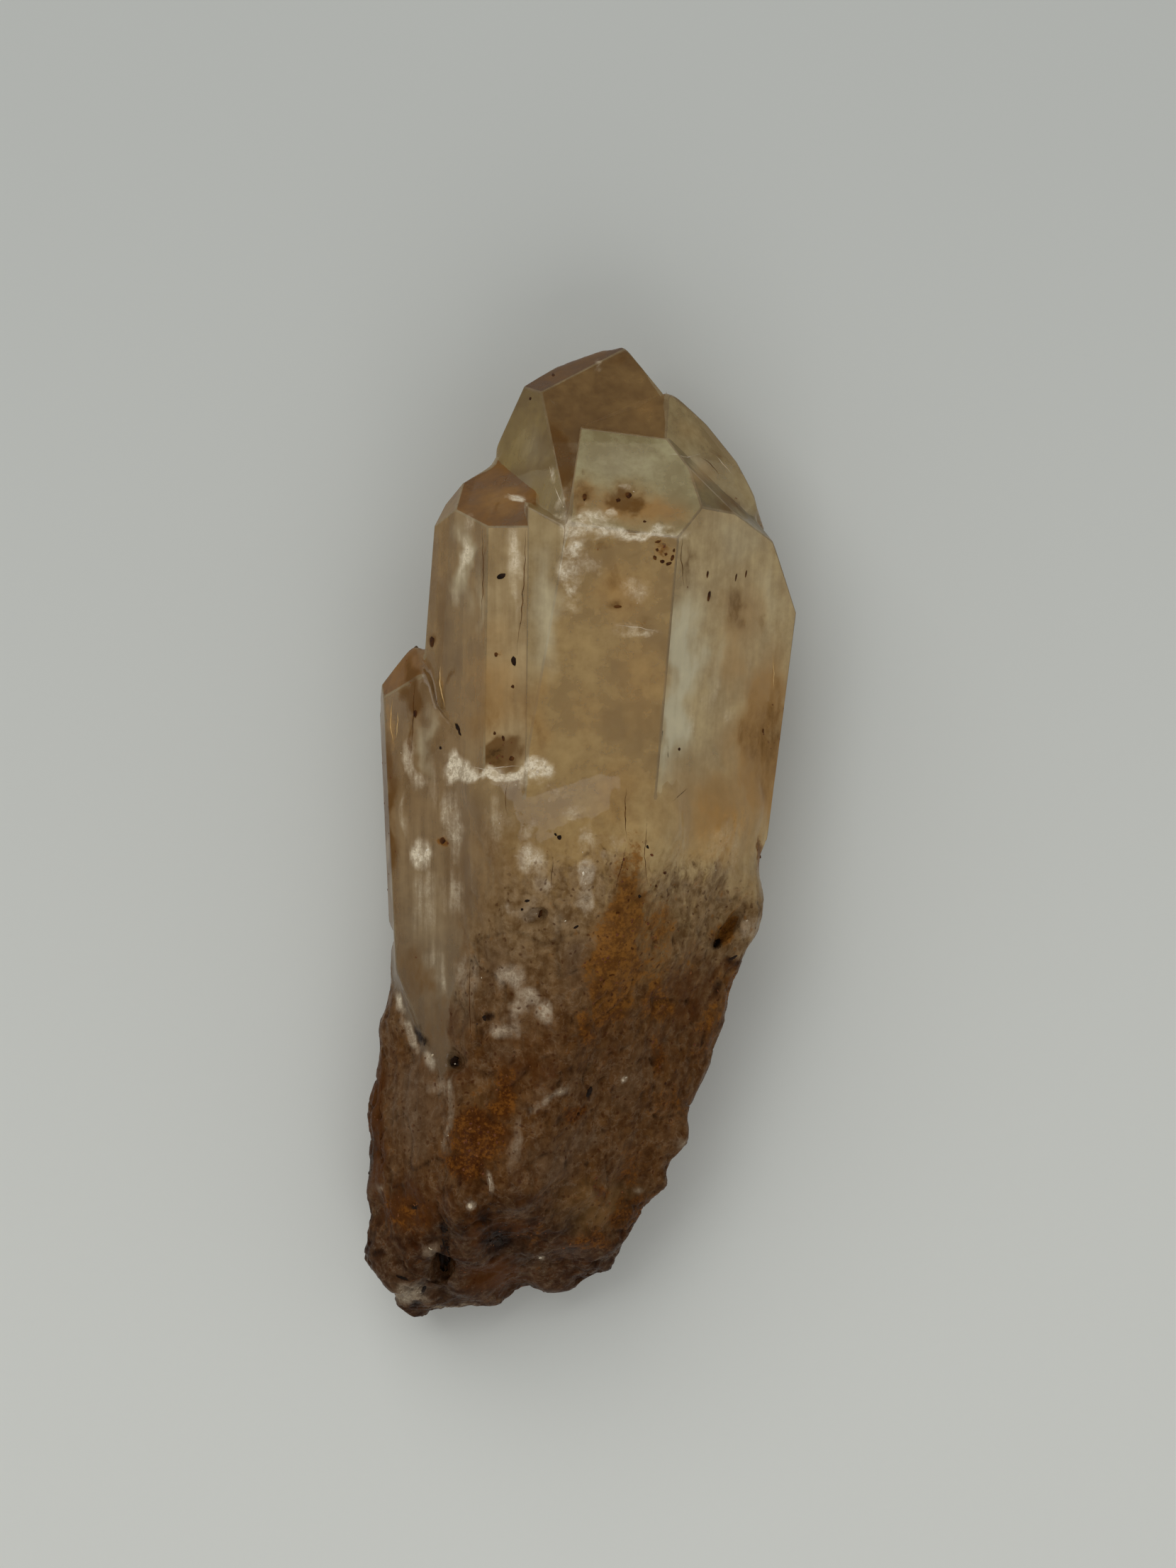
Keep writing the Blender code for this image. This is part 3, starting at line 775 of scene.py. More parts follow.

# %% Frost, painted glints and clear patches on the crystals
FROST_AND_GLINTS = [
    (-0.5, 21.4, 1.5, 1.3, 0, 0.85), (0.9, 21.6, 1.7, 0.6, -8, 0.9), (-0.3, 19.6, 1.1, 1.5, 0, 0.85),
    (-0.65, 17.6, 0.8, 1.3, 0, 0.85), (-1.0, 15.8, 1.2, 1.7, 0, 0.4), (0.5, 18.2, 1.2, 0.9, 0, 0.5),
    (-0.25, 19.8, 0.45, 0.45, 0, 1.4), (0.1, 21.7, 0.5, 0.25, -20, 1.3), (-0.8, 16.6, 0.5, 0.4, 0, 1.1),
    (4.0, 20.45, 3.8, 0.38, -5, 1.3), (1.6, 20.9, 0.9, 0.35, 0, 1.2), (2.2, 22.0, 0.4, 0.3, 0, 1.3),
    (3.9, 14.1, 2.6, 0.7, -8, 0.6), (4.1, 16.8, 1.2, 1.2, 0, 0.5), (3.2, 23.75, 0.5, 0.3, 0, 0.8),
    # The marks at -4.3, 19.3 and -4.5, 16.6 paint the bright strip on the left top face: partly frost,
    # partly a painted reflection of the light. The white slash at -4.4, 23.25 is a painted glint.
    (-4.3, 19.3, 1.0, 2.9, 0, 0.58, "left top"), (-4.5, 16.6, 0.6, 2.6, 2, 0.4),
    (-8.2, 19.2, 0.45, 1.9, 0, 0.8), (-7.7, 21.4, 0.5, 0.9, 0, 0.4),
    (-4.4, 23.25, 0.95, 0.26, -14, 1.3), (-8.5, 16.3, 0.4, 1.2, 0, 0.45),
    (-8.2, 4.4, 1.0, 1.2, 10, 1.5), (-2.95, 4.4, 1.0, 0.95, 0, 1.4), (-5.6, 4.25, 3.8, 0.42, 0, 1.6),
    (-4.2, 3.6, 1.8, 0.9, 0, 0.5), (-11.75, 5.1, 0.5, 1.9, 0, 0.7), (-11.0, -1.4, 1.1, 1.0, 0, 1.0),
    (-12.2, 1.0, 0.4, 3.2, 0, 0.35), (-10.2, 3.0, 0.7, 2.4, 0, 0.4), (9.1, 9.3, 0.6, 1.5, -20, 0.4),
    (7.6, 8.0, 0.6, 1.3, -15, 0.4), (10.2, 8.2, 0.6, 1.3, -15, 0.4), (11.5, 12.0, 0.4, 1.8, -8, 0.3),
    (13.7, 14.6, 0.4, 2.6, 5, 0.25), (-11.2, 3.6, 0.7, 0.7, 0, 0.6), (1.3, 32.6, 0.2, 0.6, 0, 0.8),
    (-1.9, 24.8, 0.22, 0.8, 10, 0.8), (-1.3, 22.9, 0.4, 1.1, -20, 0.8), (-0.3, 1.4, 1.0, 0.9, 0, 0.5),
    (-1.9, 3.0, 1.6, 1.3, 0, 0.35), (-10.8, -4.6, 1.4, 3.4, 0, 0.32), (-9.9, -9.6, 1.0, 3.0, 6, 0.28),
    (-8.8, 1.0, 1.1, 3.2, 0, 0.6),
]
CLEAR = [
    (-10.6, -7.0, 3.0, 9.0, 6, 0.15), (2.6, 25.5, 3.4, 1.5, -8, 0.40), (11.0, 20.2, 1.9, 1.9, 0, 0.35),
    (6.95, 12.2, 1.5, 4.8, -5, 1.5, "right side"), (6.4, 7.4, 1.3, 4.4, -5, 1.4, "right side"),
    (-2.5, 15.4, 1.0, 5.0, 0, 0.6), (-8.2, 18.4, 0.6, 3.4, 0, 0.55), (9.4, 11.6, 0.5, 2.6, -6, 0.5),
    (13.3, 16.8, 0.8, 2.4, 0, 0.25), (-10.6, 6.2, 0.5, 2.6, 0, 0.5), (-3.2, 27.0, 0.9, 1.6, -14, 0.25),
    (-7.0, 16.0, 0.25, 3.0, 0, 0.3), (8.2, 25.6, 0.9, 0.9, 0, 0.3),
]
print(len(FROST_AND_GLINTS) + len(CLEAR), "pale patches")

# %% Marks on the base
RUST = [
    (3.6, -2.4, 2.0, 3.4, -8, 0.7), (3.2, -5.6, 1.9, 3.4, -6, 1.1), (5.2, -6.4, 2.2, 2.8, 0, 0.7),
    (2.7, -8.2, 2.2, 3.4, 10, 1.3), (1.7, -11.0, 1.9, 3.0, 16, 1.2), (5.3, -11.9, 1.4, 2.0, 0, 1.3),
    (0.5, -13.6, 1.2, 1.6, 20, 0.9), (5.0, -8.6, 2.2, 3.6, 0, 0.55), (5.4, -15.6, 0.6, 1.8, 0, 0.8),
    (4.2, -9.4, 1.4, 1.6, 0, 0.6), (12.6, -1.5, 0.55, 1.9, -8, 0.95), (10.2, -6.5, 0.7, 1.9, -38, 1.0),
    (8.8, -13.6, 1.2, 3.4, -16, 0.7), (-6.9, -20.6, 2.2, 3.2, 10, 1.2), (-7.6, -22.6, 2.0, 1.9, 0, 1.0),
    (-5.4, -18.0, 1.5, 2.6, 0, 0.8), (-12.4, -26.6, 2.6, 2.0, 0, 0.5), (3.4, -26.6, 2.6, 1.8, 15, 0.7),
    (0.6, -28.2, 2.9, 1.2, 8, 0.6), (-0.3, -19.3, 1.0, 0.7, 0, 1.1), (6.2, -18.8, 2.0, 2.2, 0, 0.5),
    (-9.55, -0.5, 0.45, 0.45, 0, 1.2), (1.5, -24.7, 0.6, 1.3, 0, 0.8), (3.6, -23.4, 1.6, 2.4, -20, 0.6),
    (-5.6, 12.4, 0.3, 0.3, 0, 0.9), (5.8, 19.15, 0.8, 0.9, 0, 0.8, "front top"),
    (0.9, -7.0, 0.8, 1.4, 0, 0.5), (9.9, -10.8, 1.0, 2.0, 0, 0.85), (-3.2, -28.0, 1.6, 1.2, 0, 0.5),
    (7.2, -9.0, 1.6, 2.2, 0, 0.4),
]
BASE_CLOUDS = [
    (7.4, -11.0, 3.0, 3.8, -10, 0.75), (6.0, -14.6, 3.2, 2.8, -10, 0.4),
    (10.2, -6.5, 0.6, 1.7, -38, 0.9), (10.3, -9.0, 1.0, 0.8, 0, 0.95), (-5.6, -18.8, 0.9, 1.4, 0, 0.9),
    (-5.2, -21.0, 0.6, 1.0, 0, 0.9), (-11.8, -26.0, 3.0, 2.4, 0, 1.1), (-6.0, -27.6, 2.6, 1.8, 0, 0.9),
    (-1.4, -28.4, 2.6, 1.6, 0, 0.4), (-14.3, -20.0, 1.1, 8.0, 0, 1.2), (-3.2, -14.2, 2.2, 1.0, 0, 0.4),
    (2.4, -14.6, 1.6, 1.2, 0, 0.5), (8.0, -20.4, 1.0, 2.4, -20, 0.6), (-3.6, -16.4, 2.8, 1.8, 0, 0.7),
    (-3.4, -25.4, 2.0, 0.5, 0, 0.6), (9.0, -10.4, 1.5, 2.4, -15, 0.6), (-6.0, -31.2, 3.0, 1.8, 0, 1.2),
    (-8.2, -16.6, 1.2, 0.8, 0, 0.7), (-5.9, -18.8, 0.7, 1.2, 0, 1.0),
]
GREY = [
    (-11.3, -19.4, 2.3, 4.8, 4, 0.95), (-1.6, -23.2, 2.2, 3.0, -12, 0.55),
    (0.3, -21.0, 1.6, 1.0, 0, 0.75), (-0.3, -9.0, 1.5, 2.0, 0, 1.0), (-6.0, -8.8, 1.3, 3.6, 0, 0.6),
    (10.4, -2.0, 1.8, 3.0, -12, 0.8), (3.4, -18.0, 2.0, 2.0, -10, 0.5),
    (-12.2, -31.6, 1.6, 1.6, 0, 0.7), (-5.2, -15.2, 1.6, 1.4, 0, 0.5), (7.0, -21.8, 0.9, 0.7, 0, 0.7),
    (4.0, -25.0, 0.6, 0.6, 0, 0.7), (-10.2, -28.8, 1.4, 1.2, 0, 0.5),
]
DARK = [
    (-9.4, -27.4, 0.40, 0.8, 0, 1.0), (-9.5, -29.4, 0.55, 1.8, -3, 1.0),
    (-5.8, -28.1, 1.4, 1.6, 0, 0.95), (-6.4, -26.6, 1.0, 1.2, 0, 0.9), (-3.4, -27.0, 0.8, 0.6, 0, 0.6),
    (-8.65, -15.8, 0.55, 0.55, 0, 1.0), (-6.1, -12.5, 0.45, 0.45, 0, 1.0),
    (-14.8, -22.0, 0.6, 4.0, 0, 0.6), (-11.6, -33.2, 0.9, 0.35, 35, 0.9),
    (-12.4, -31.0, 0.9, 0.18, -10, 1.0), (-10.9, -32.0, 0.20, 0.7, -20, 1.0),
    (-11.0, -13.9, 0.4, 1.4, 22, 0.8), (9.4, -7.6, 0.35, 0.7, -38, 0.9),
    (-13.6, -9.4, 0.6, 2.0, 0, 0.8), (10.4, -8.8, 0.9, 0.35, -30, 0.8),
    (0.55, -17.9, 0.28, 0.75, -28, 1.0), (-11.7, -26.0, 0.6, 0.3, 0, 0.8),
    (-8.2, -27.0, 1.0, 1.4, 0, 0.6), (-6.1, -19.4, 0.5, 0.8, 0, 0.6), (-11.5, 8.7, 0.35, 0.45, 0, 0.5),
    (-6.0, 5.4, 1.8, 0.8, 0, 0.45), (-14.0, -29.4, 0.5, 0.5, 0, 0.8), (2.2, -17.7, 0.2, 0.4, -20, 0.8),
    (-0.8, -28.9, 1.0, 0.5, 0, 0.6), (-7.2, -12.8, 0.25, 2.4, 0, 0.6), (9.3, -10.8, 0.3, 0.9, -20, 0.8),
    (8.4, -14.4, 0.2, 0.8, -16, 0.8), (-12.6, -24.6, 0.8, 0.4, 0, 0.6),
    (0.4, -22.9, 0.25, 0.35, 0, 0.8),
]
BASE_VEILS_AND_GLINTS = [
    # The first mark, at 0.2, -2.7, is a painted glint; the others are pale frost and veils.
    (0.2, -2.7, 0.7, 1.3, 0, 1.5), (0.2, -4.6, 0.6, 1.8, 0, 0.75), (-3.5, -2.0, 1.5, 1.3, 0, 0.85),
    (-2.6, -3.6, 1.1, 0.9, 0, 0.7), (-3.9, -5.3, 1.3, 1.1, 0, 0.7), (-4.7, -10.0, 1.1, 1.5, 0, 1.0),
    (-3.7, -11.3, 1.1, 1.0, 0, 1.0), (-2.5, -12.2, 1.0, 1.0, 0, 1.15), (-5.1, -13.5, 1.5, 0.8, 0, 0.85),
    (-4.4, -12.2, 1.0, 1.0, 0, 0.8), (10.0, -1.2, 1.6, 2.8, -12, 0.3), (11.9, -6.7, 0.8, 1.6, -30, 0.6),
    (-12.6, -11.8, 0.4, 1.1, 24, 0.9), (-11.6, -13.9, 0.42, 2.2, 24, 0.9),
    (-10.5, -16.0, 0.5, 0.9, 24, 0.8), (-11.9, -32.2, 1.7, 1.3, 10, 1.1),
    (-7.6, -25.7, 0.40, 0.38, 0, 1.1), (-6.25, -24.1, 0.3, 1.0, 0, 0.9),
    (-14.05, -24.7, 0.5, 0.7, 0, 0.8), (-9.4, -33.4, 2.2, 0.35, 0, 0.8),
    (-2.2, -18.4, 0.45, 2.4, -58, 0.6), (-4.4, -21.6, 0.6, 2.6, -6, 0.55),
    (3.0, -17.1, 0.3, 0.3, 0, 1.0), (-2.8, -29.7, 0.25, 0.25, 0, 1.0), (4.0, -25.0, 0.5, 0.45, 0, 0.6),
    (-5.6, 0.8, 1.4, 2.0, 0, 0.45), (2.2, -1.2, 1.2, 1.0, 0, 0.4), (-9.0, -19.8, 0.5, 2.4, 6, 0.45),
    (-9.6, -17.6, 1.0, 1.0, 0, 0.55), (-10.6, -29.0, 1.0, 0.8, 0, 0.5), (0.4, -0.4, 1.2, 0.9, 0, 0.5),
    (7.1, -21.7, 0.7, 0.55, 0, 0.5), (-3.3, 0.0, 0.8, 1.2, 0, 0.5), (-8.4, -4.0, 1.2, 2.6, 0, 0.5),
    (-7.6, -10.2, 0.9, 2.6, 0, 0.4), (-1.3, -6.2, 0.8, 0.9, 0, 0.4),
]
print(sum(map(len, (RUST, BASE_CLOUDS, GREY, DARK, BASE_VEILS_AND_GLINTS))), "marks on the base")

# %% Bend the coordinates that the marks are laid on
WIDE_BEND = (2.2, 0.9)
TIGHT_BEND = (0.7, 0.35)
UNDERSIDE = (-0.35, 0.05)


def point_values(mesh, field):
    """Three numbers for each point of a mesh, as rows."""
    values = np.empty(len(mesh.vertices) * 3)
    mesh.vertices.foreach_get(field, values)
    return values.reshape(-1, 3)


def bend_by(places, wave, reach):
    """Smooth random shifts for a set of places, all in millimetres."""
    return np.array([noise.noise_vector(Vector(place) / wave) for place in places]) * reach


def ease_between(start, end, values):
    share = np.clip((values - start) / (end - start), 0.0, 1.0)
    return share * share * (3.0 - 2.0 * share)


corner_points = np.empty(len(quartz_mesh.loops), dtype=np.int32)
quartz_mesh.loops.foreach_get("vertex_index", corner_points)
face_facets = np.empty(len(quartz_mesh.polygons), dtype=np.int32)
quartz_mesh.attributes["facet"].data.foreach_get("value", face_facets)
corner_facets = np.repeat(face_facets, 3)
points_mm = point_values(quartz_mesh, "co") / MM
faces_up = ease_between(*UNDERSIDE, point_values(quartz_mesh, "normal")[:, 2])
bend = bend_by(points_mm, *WIDE_BEND) + bend_by(points_mm, *TIGHT_BEND)
print(f"{len(points_mm)} points bent by up to {np.abs(bend).max():.1f} mm")

# %% Paint the marks on the corners
FULL_BEND_SIZE = 1.3
SOFT_START = 0.15
SOFT_END = 1.28


def paint(name, marks):
    """Store the strongest of the marks at each corner; a mark may be kept to one face."""
    total = np.zeros(len(corner_points))
    for x, y, half_x, half_y, turn, strength, *kept_to in marks:
        bent = points_mm + bend * min(1.0, math.sqrt(half_x * half_y) / FULL_BEND_SIZE)
        aside, ahead = bent[:, 0] - x, bent[:, 1] - y
        cosine, sine = math.cos(math.radians(turn)), math.sin(math.radians(turn))
        across_mark = (aside * cosine + ahead * sine) / half_x
        along_mark = (ahead * cosine - aside * sine) / half_y
        away = np.hypot(across_mark, along_mark)
        here = (strength * ease_between(SOFT_END, SOFT_START, away) * faces_up)[corner_points]
        if kept_to:
            here = here * (corner_facets == number_of[kept_to[0]])
        total = np.maximum(total, here)
    quartz_mesh.attributes.new(name, "FLOAT", "CORNER").data.foreach_set("value", total)
    print(f"{name} covers {np.mean(total > 0.2):.1%} of the corners")


MARKS = {
    "honey": HONEY, "smoky": SMOKY + BASE_CLOUDS, "frost": FROST_AND_GLINTS + BASE_VEILS_AND_GLINTS,
    "clear": CLEAR, "rust": RUST, "grey": GREY, "dark": DARK,
}
for name, marks in MARKS.items():
    paint(name, marks)

# %% [markdown]
# ## Milk in glass
# Citrine is clear quartz with something in it. The finish therefore mixes two surfaces:
# plain glass, with an amber absorption inside it, and an opaque milky surface that carries
# the tones, clouds and stains. The share of milk is about a half on the clean faces and
# larger in the clouds. Over the fractured base an opaque crust takes the place of both.

# %% Shades, and where they change along the stone
HONEY_SHADE = (0.52, 0.285, 0.085, 1.0)
SMOKY_SHADE = (0.135, 0.058, 0.011, 1.0)
RUST_SHADE = (0.25, 0.100, 0.015, 1.0)
RUST_WASH = (0.215, 0.095, 0.022, 1.0)
RUST_LOW = (0.070, 0.019, 0.002, 1.0)
RUST_EMBER = (0.185, 0.064, 0.008, 1.0)
RUST_DEEP = (0.050, 0.012, 0.002, 1.0)
# The frost colour also paints the glints and the reflection on the left top face.
FROST_AND_GLINT_SHADE = (0.88, 0.77, 0.57, 1.0)
BASE_FROST_AND_GLINT = (0.46, 0.36, 0.245, 1.0)
CLEAR_SHADE = (0.84, 0.74, 0.48, 1.0)
DARK_SHADE = (0.010, 0.003, 0.001, 1.0)
BASE_TAN = (0.235, 0.147, 0.064, 1.0)
BASE_BROWN = (0.102, 0.041, 0.009, 1.0)
BASE_RED = (0.078, 0.024, 0.004, 1.0)
BASE_GREY = (0.150, 0.090, 0.047, 1.0)
BASE_UMBER = (0.044, 0.013, 0.002, 1.0)
WARMER = (0.80, 0.70, 0.55, 1.0)
PALER = (1.15, 1.18, 1.24, 1.0)
DIRTIER = (0.56, 0.46, 0.34, 1.0)
CLEANER = (1.38, 1.44, 1.56, 1.0)
SMOKE_ALONG = (2.0, -14.0)
TAN_ALONG = (-11.0, 1.0)
UMBER_ALONG = (-19.0, -26.0)
DEEP_ALONG = (-5.0, -15.0)
HAZE_ALONG = (6.0, -6.0)
FULL_HAZE = 0.92
print("the base's dark end starts at y =", UMBER_ALONG[0], "mm")

# %% Noise of several sizes, and what is painted on the mesh
citrine = Finish("citrine")
spot = citrine.place_mm()
along = citrine.node("ShaderNodeSeparateXYZ", None, {0: spot}, output="Y")
wide_grain = citrine.grain(spot, 0.28, detail=4.0)
mid_grain = citrine.grain(spot, 1.3, detail=4.0, roughness=0.62)
fine_grain = citrine.grain(spot, 4.5, detail=3.0, roughness=0.65)
close_grain = fine_grain * 0.35 + mid_grain * 0.65
fibres = citrine.stretch(spot, (1.6, 0.22, 1.6))
fibres = citrine.grain(fibres, 1.0, detail=4.0, roughness=0.6)
streaks = citrine.stretch(spot, (1.25, 0.11, 1.25))
streaks = citrine.grain(streaks, 1.0, detail=5.0, roughness=0.55)

facet_tint = citrine.painted("look", "Color")
facet_haze = citrine.painted("look", "Alpha")
streaky = citrine.painted("streaky")
rough_painted = citrine.painted("rough")
hollow = citrine.painted("hollow")
honey, smoky, frost, clear, rust, grey, dark = map(citrine.painted, MARKS)
print(len(citrine.tree.nodes), "nodes of noise and paint")

# %% Fray the soft edge of a mark
FRAY = 1.5
FRAY_FROM = 0.3
FRAY_START = 0.08
FRAY_END = 1.10
sway = citrine.grain(spot, 0.9, roughness=0.5).other("Color")
bent_spot = citrine.node("ShaderNodeVectorMath", {"operation": "ADD"}, {0: spot, 1: sway})
tatter = citrine.grain(bent_spot, 1.5, detail=4.0, roughness=0.62)
smear = citrine.stretch(bent_spot, (1.9, 0.8, 1.9))
smear = citrine.grain(smear, 1.0, detail=6.0, roughness=0.62)


def frayed(mark, torn_by):
    """A painted mark whose soft edge frays into the stone around it."""
    tear = (torn_by - 0.5) * FRAY * citrine.ease(mark, 0.0, FRAY_FROM)
    return citrine.ease(mark + tear, FRAY_START, FRAY_END)


rough = frayed(rough_painted, smear)
print("the rim between crystals and base is frayed")

# %% The tone of the milky share
cloud = citrine.ease(mid_grain * 0.35 + wide_grain * 0.65, 0.32, 0.68)
streak = citrine.ease(streaks * 0.65 + wide_grain * 0.35, 0.34, 0.66)
pattern = cloud + (streak - cloud) * streaky
warm_tint = citrine.mix(1.0, facet_tint, WARMER, "MULTIPLY")
pale_tint = citrine.mix(1.0, facet_tint, PALER, "MULTIPLY")
crystal_shade = citrine.mix(pattern, warm_tint, pale_tint)
smoke = citrine.ease(along + mid_grain * 4.0, *SMOKE_ALONG)
crystal_shade = citrine.mix(smoke * 0.8, crystal_shade, BASE_GREY)
tan = citrine.ease(along + wide_grain * 8.0, *TAN_ALONG)
base_shade = citrine.mix(tan, BASE_BROWN, BASE_TAN)
umber = citrine.ease(along + mid_grain * 6.0, *UMBER_ALONG)
base_shade = citrine.mix(umber, base_shade, BASE_UMBER)
grey_here = (grey * (0.6 + 0.4 * cloud)).highest(cloud * 0.3)
base_shade = citrine.mix(grey_here, base_shade, BASE_GREY)
base_warm = citrine.mix(1.0, base_shade, DIRTIER, "MULTIPLY")
base_pale = citrine.mix(1.0, base_shade, CLEANER, "MULTIPLY")
base_pattern = citrine.ease(fibres * 0.25 + tatter * 0.45 + mid_grain * 0.3, 0.36, 0.64)
base_pattern = 0.5 + (base_pattern - 0.5) * (1.0 - grey * 0.5)
base_shade = citrine.mix(base_pattern, base_warm, base_pale)
shade = citrine.mix(rough, crystal_shade, base_shade)
print("tones mixed")

# %% How much of each cloud and stain there is
speckled = citrine.ease(fine_grain, 0.42, 0.60)
mottled = citrine.ease(close_grain, 0.42, 0.58)
honey_here = 0.6 + 0.25 * pattern + 0.15 * citrine.ease(smear, 0.2, 0.8)
honey_here = (honey * honey_here).clamp()
smoky_here = frayed(smoky, smear + (streaks - smear) * streaky) * (0.86 + 0.14 * pattern)
rust_soft = frayed(rust, tatter)
rust_here = citrine.ease(rust_soft * 0.5 + close_grain, 0.66, 0.90)
threads = citrine.grain(bent_spot, 0.9, detail=6.0, roughness=0.66)
threads = 1.0 - citrine.ease((threads - 0.5).size(), 0.0, 0.07)
torn = tatter + (streaks - tatter) * streaky * 1.5
# The frost mask also carries the painted glints and the painted reflection on the left top face.
frost_and_glint_soft = frayed(frost, torn)
frost_and_glint_here = (frost_and_glint_soft * (0.46 + 0.18 * speckled + 0.34 * threads)).clamp()
dark_here = frayed(dark, tatter).highest(hollow * rough * 0.7)
print("clouds and stains frayed")

# %% Drops, pepper and threads that lie loose on the base
drops = 1.0 - citrine.ease(citrine.dots(bent_spot, 1.1), 0.10, 0.26)
drops = drops * citrine.ease(wide_grain * 0.5 + mid_grain * 0.5, 0.48, 0.60)
small_dots = citrine.dots(bent_spot, 2.2)
chosen = citrine.ease(small_dots.other("Color"), 0.60, 0.64)
pepper = (1.0 - citrine.ease(small_dots, 0.16, 0.34)) * chosen * (rough * 0.8).highest(rust_soft)
loose_rust = (drops * 0.8).highest(citrine.ease(tatter, 0.60, 0.74) * 0.6) * rough
loose_frost = citrine.ease(threads * 0.3 + tatter * 0.7, 0.52, 0.80) * rough
print("loose marks scattered")

# %% Lay them over the tone, one over the other
frost_and_glint_shade = citrine.mix(rough, FROST_AND_GLINT_SHADE, BASE_FROST_AND_GLINT)
smoky_shade = citrine.mix(rough, SMOKY_SHADE, BASE_RED)
deep_down = citrine.ease(along + mid_grain * 4.0, *DEEP_ALONG)
embers = citrine.ease(tatter * 0.5 + fine_grain * 0.5, 0.43, 0.60)
rust_low = citrine.mix(embers, RUST_LOW, RUST_EMBER)
rust_shade = citrine.mix(deep_down, RUST_SHADE, rust_low)
rust_shade = citrine.mix(0.3 + mottled * 0.7, RUST_DEEP, rust_shade)
for share, laid_shade in (
    (clear * (0.65 + 0.35 * streak), CLEAR_SHADE),
    (honey_here, HONEY_SHADE),
    (frost_and_glint_here.highest(loose_frost * 0.14), frost_and_glint_shade),
    (smoky_here * 0.94, smoky_shade),
    (rust_soft * 0.7, citrine.mix(deep_down, RUST_WASH, rust_low)),
    (rust_here.highest(loose_rust) * 0.75, rust_shade),
    (pepper * 0.8, RUST_DEEP),
    (dark_here, DARK_SHADE),
):
    shade = citrine.mix(share, shade, laid_shade)
print("eight layers laid over the tone")

# %% The share of milk
haze = facet_haze * (0.82 + 0.36 * pattern)
haze = haze + citrine.ease(along, *HAZE_ALONG) * 0.22 * (FULL_HAZE - haze)
haze = haze + rough * (FULL_HAZE - haze)
stained = honey_here * 0.15 + smoky_here * 0.3 + frost_and_glint_here * 0.4
stained = stained + rust_soft * 0.45 + dark_here * 0.4 + clear * 0.12
milk = (haze + stained).clamp()
print("the share of milk follows haze and stains")

# %% Glass, milk and crust together with the absorption
QUARTZ_IOR = 1.544
AMBER = (0.78, 0.55, 0.12, 1.0)
AMBER_DENSITY = 18.0
RELIEF_DEPTH = 0.10

skin_height = streaks * 0.5 * streaky + wide_grain
skin_bump = citrine.node("ShaderNodeBump", None, {
    "Strength": 0.12, "Distance": 0.5 * RELIEF_DEPTH * MM, "Height": skin_height,
})
crust_height = fine_grain * 0.25 + mid_grain * 0.6 + fibres * 0.2
crust_bump = citrine.node("ShaderNodeBump", None, {
    "Strength": 0.32, "Distance": RELIEF_DEPTH * MM, "Height": crust_height,
})
glass = citrine.principled({
    "Base Color": (1.0, 1.0, 1.0, 1.0), "Roughness": 0.06, "IOR": QUARTZ_IOR,
    "Transmission Weight": 1.0, "Normal": skin_bump,
})
milky = citrine.principled({
    "Base Color": shade, "Roughness": 0.30 + frost_and_glint_here * 0.25,
    "Specular IOR Level": 0.05, "Normal": skin_bump,
})
crust = citrine.principled({
    "Base Color": shade, "Roughness": 0.24 + speckled * 0.22,
    "Specular IOR Level": 0.035, "Normal": crust_bump,
})
skin = citrine.node("ShaderNodeMixShader", None, {0: milk, 1: glass, 2: milky})
stone_surface = citrine.node("ShaderNodeMixShader", None, {0: rough, 1: skin, 2: crust})
amber = citrine.node("ShaderNodeVolumeAbsorption", None, {
    "Color": AMBER, "Density": AMBER_DENSITY,
})
citrine.show(stone_surface, {"Volume": amber})
quartz_mesh.materials.append(citrine.material)
print("citrine has", len(citrine.tree.nodes), "nodes")

# %% [markdown]
# ## Grains and flakes
# From a step away the stains look like colour, but close up they are grains: rust crystals
# and dirt on the skin, white flakes on it and in the veils inside. There are far too many
# to place by hand, so one Geometry Nodes tree scatters them. The painted marks set how
# dense they lie, and its other inputs say how large, how flat and how deep. Each scatter
# becomes one plain mesh.

# %% The scattering tree
GRAIN_INPUTS = {
    "Surface": "NodeSocketGeometry", "Mark": "NodeSocketString", "Per square mm": "NodeSocketFloat",
    "Smallest": "NodeSocketFloat", "Largest": "NodeSocketFloat", "Flatness": "NodeSocketFloat",
    "Least depth": "NodeSocketFloat", "Most depth": "NodeSocketFloat", "Seed": "NodeSocketInt",
    "Finish": "NodeSocketMaterial",
}
HALF_TURN = math.pi
TILT = 0.5
LONGEST = 1.7


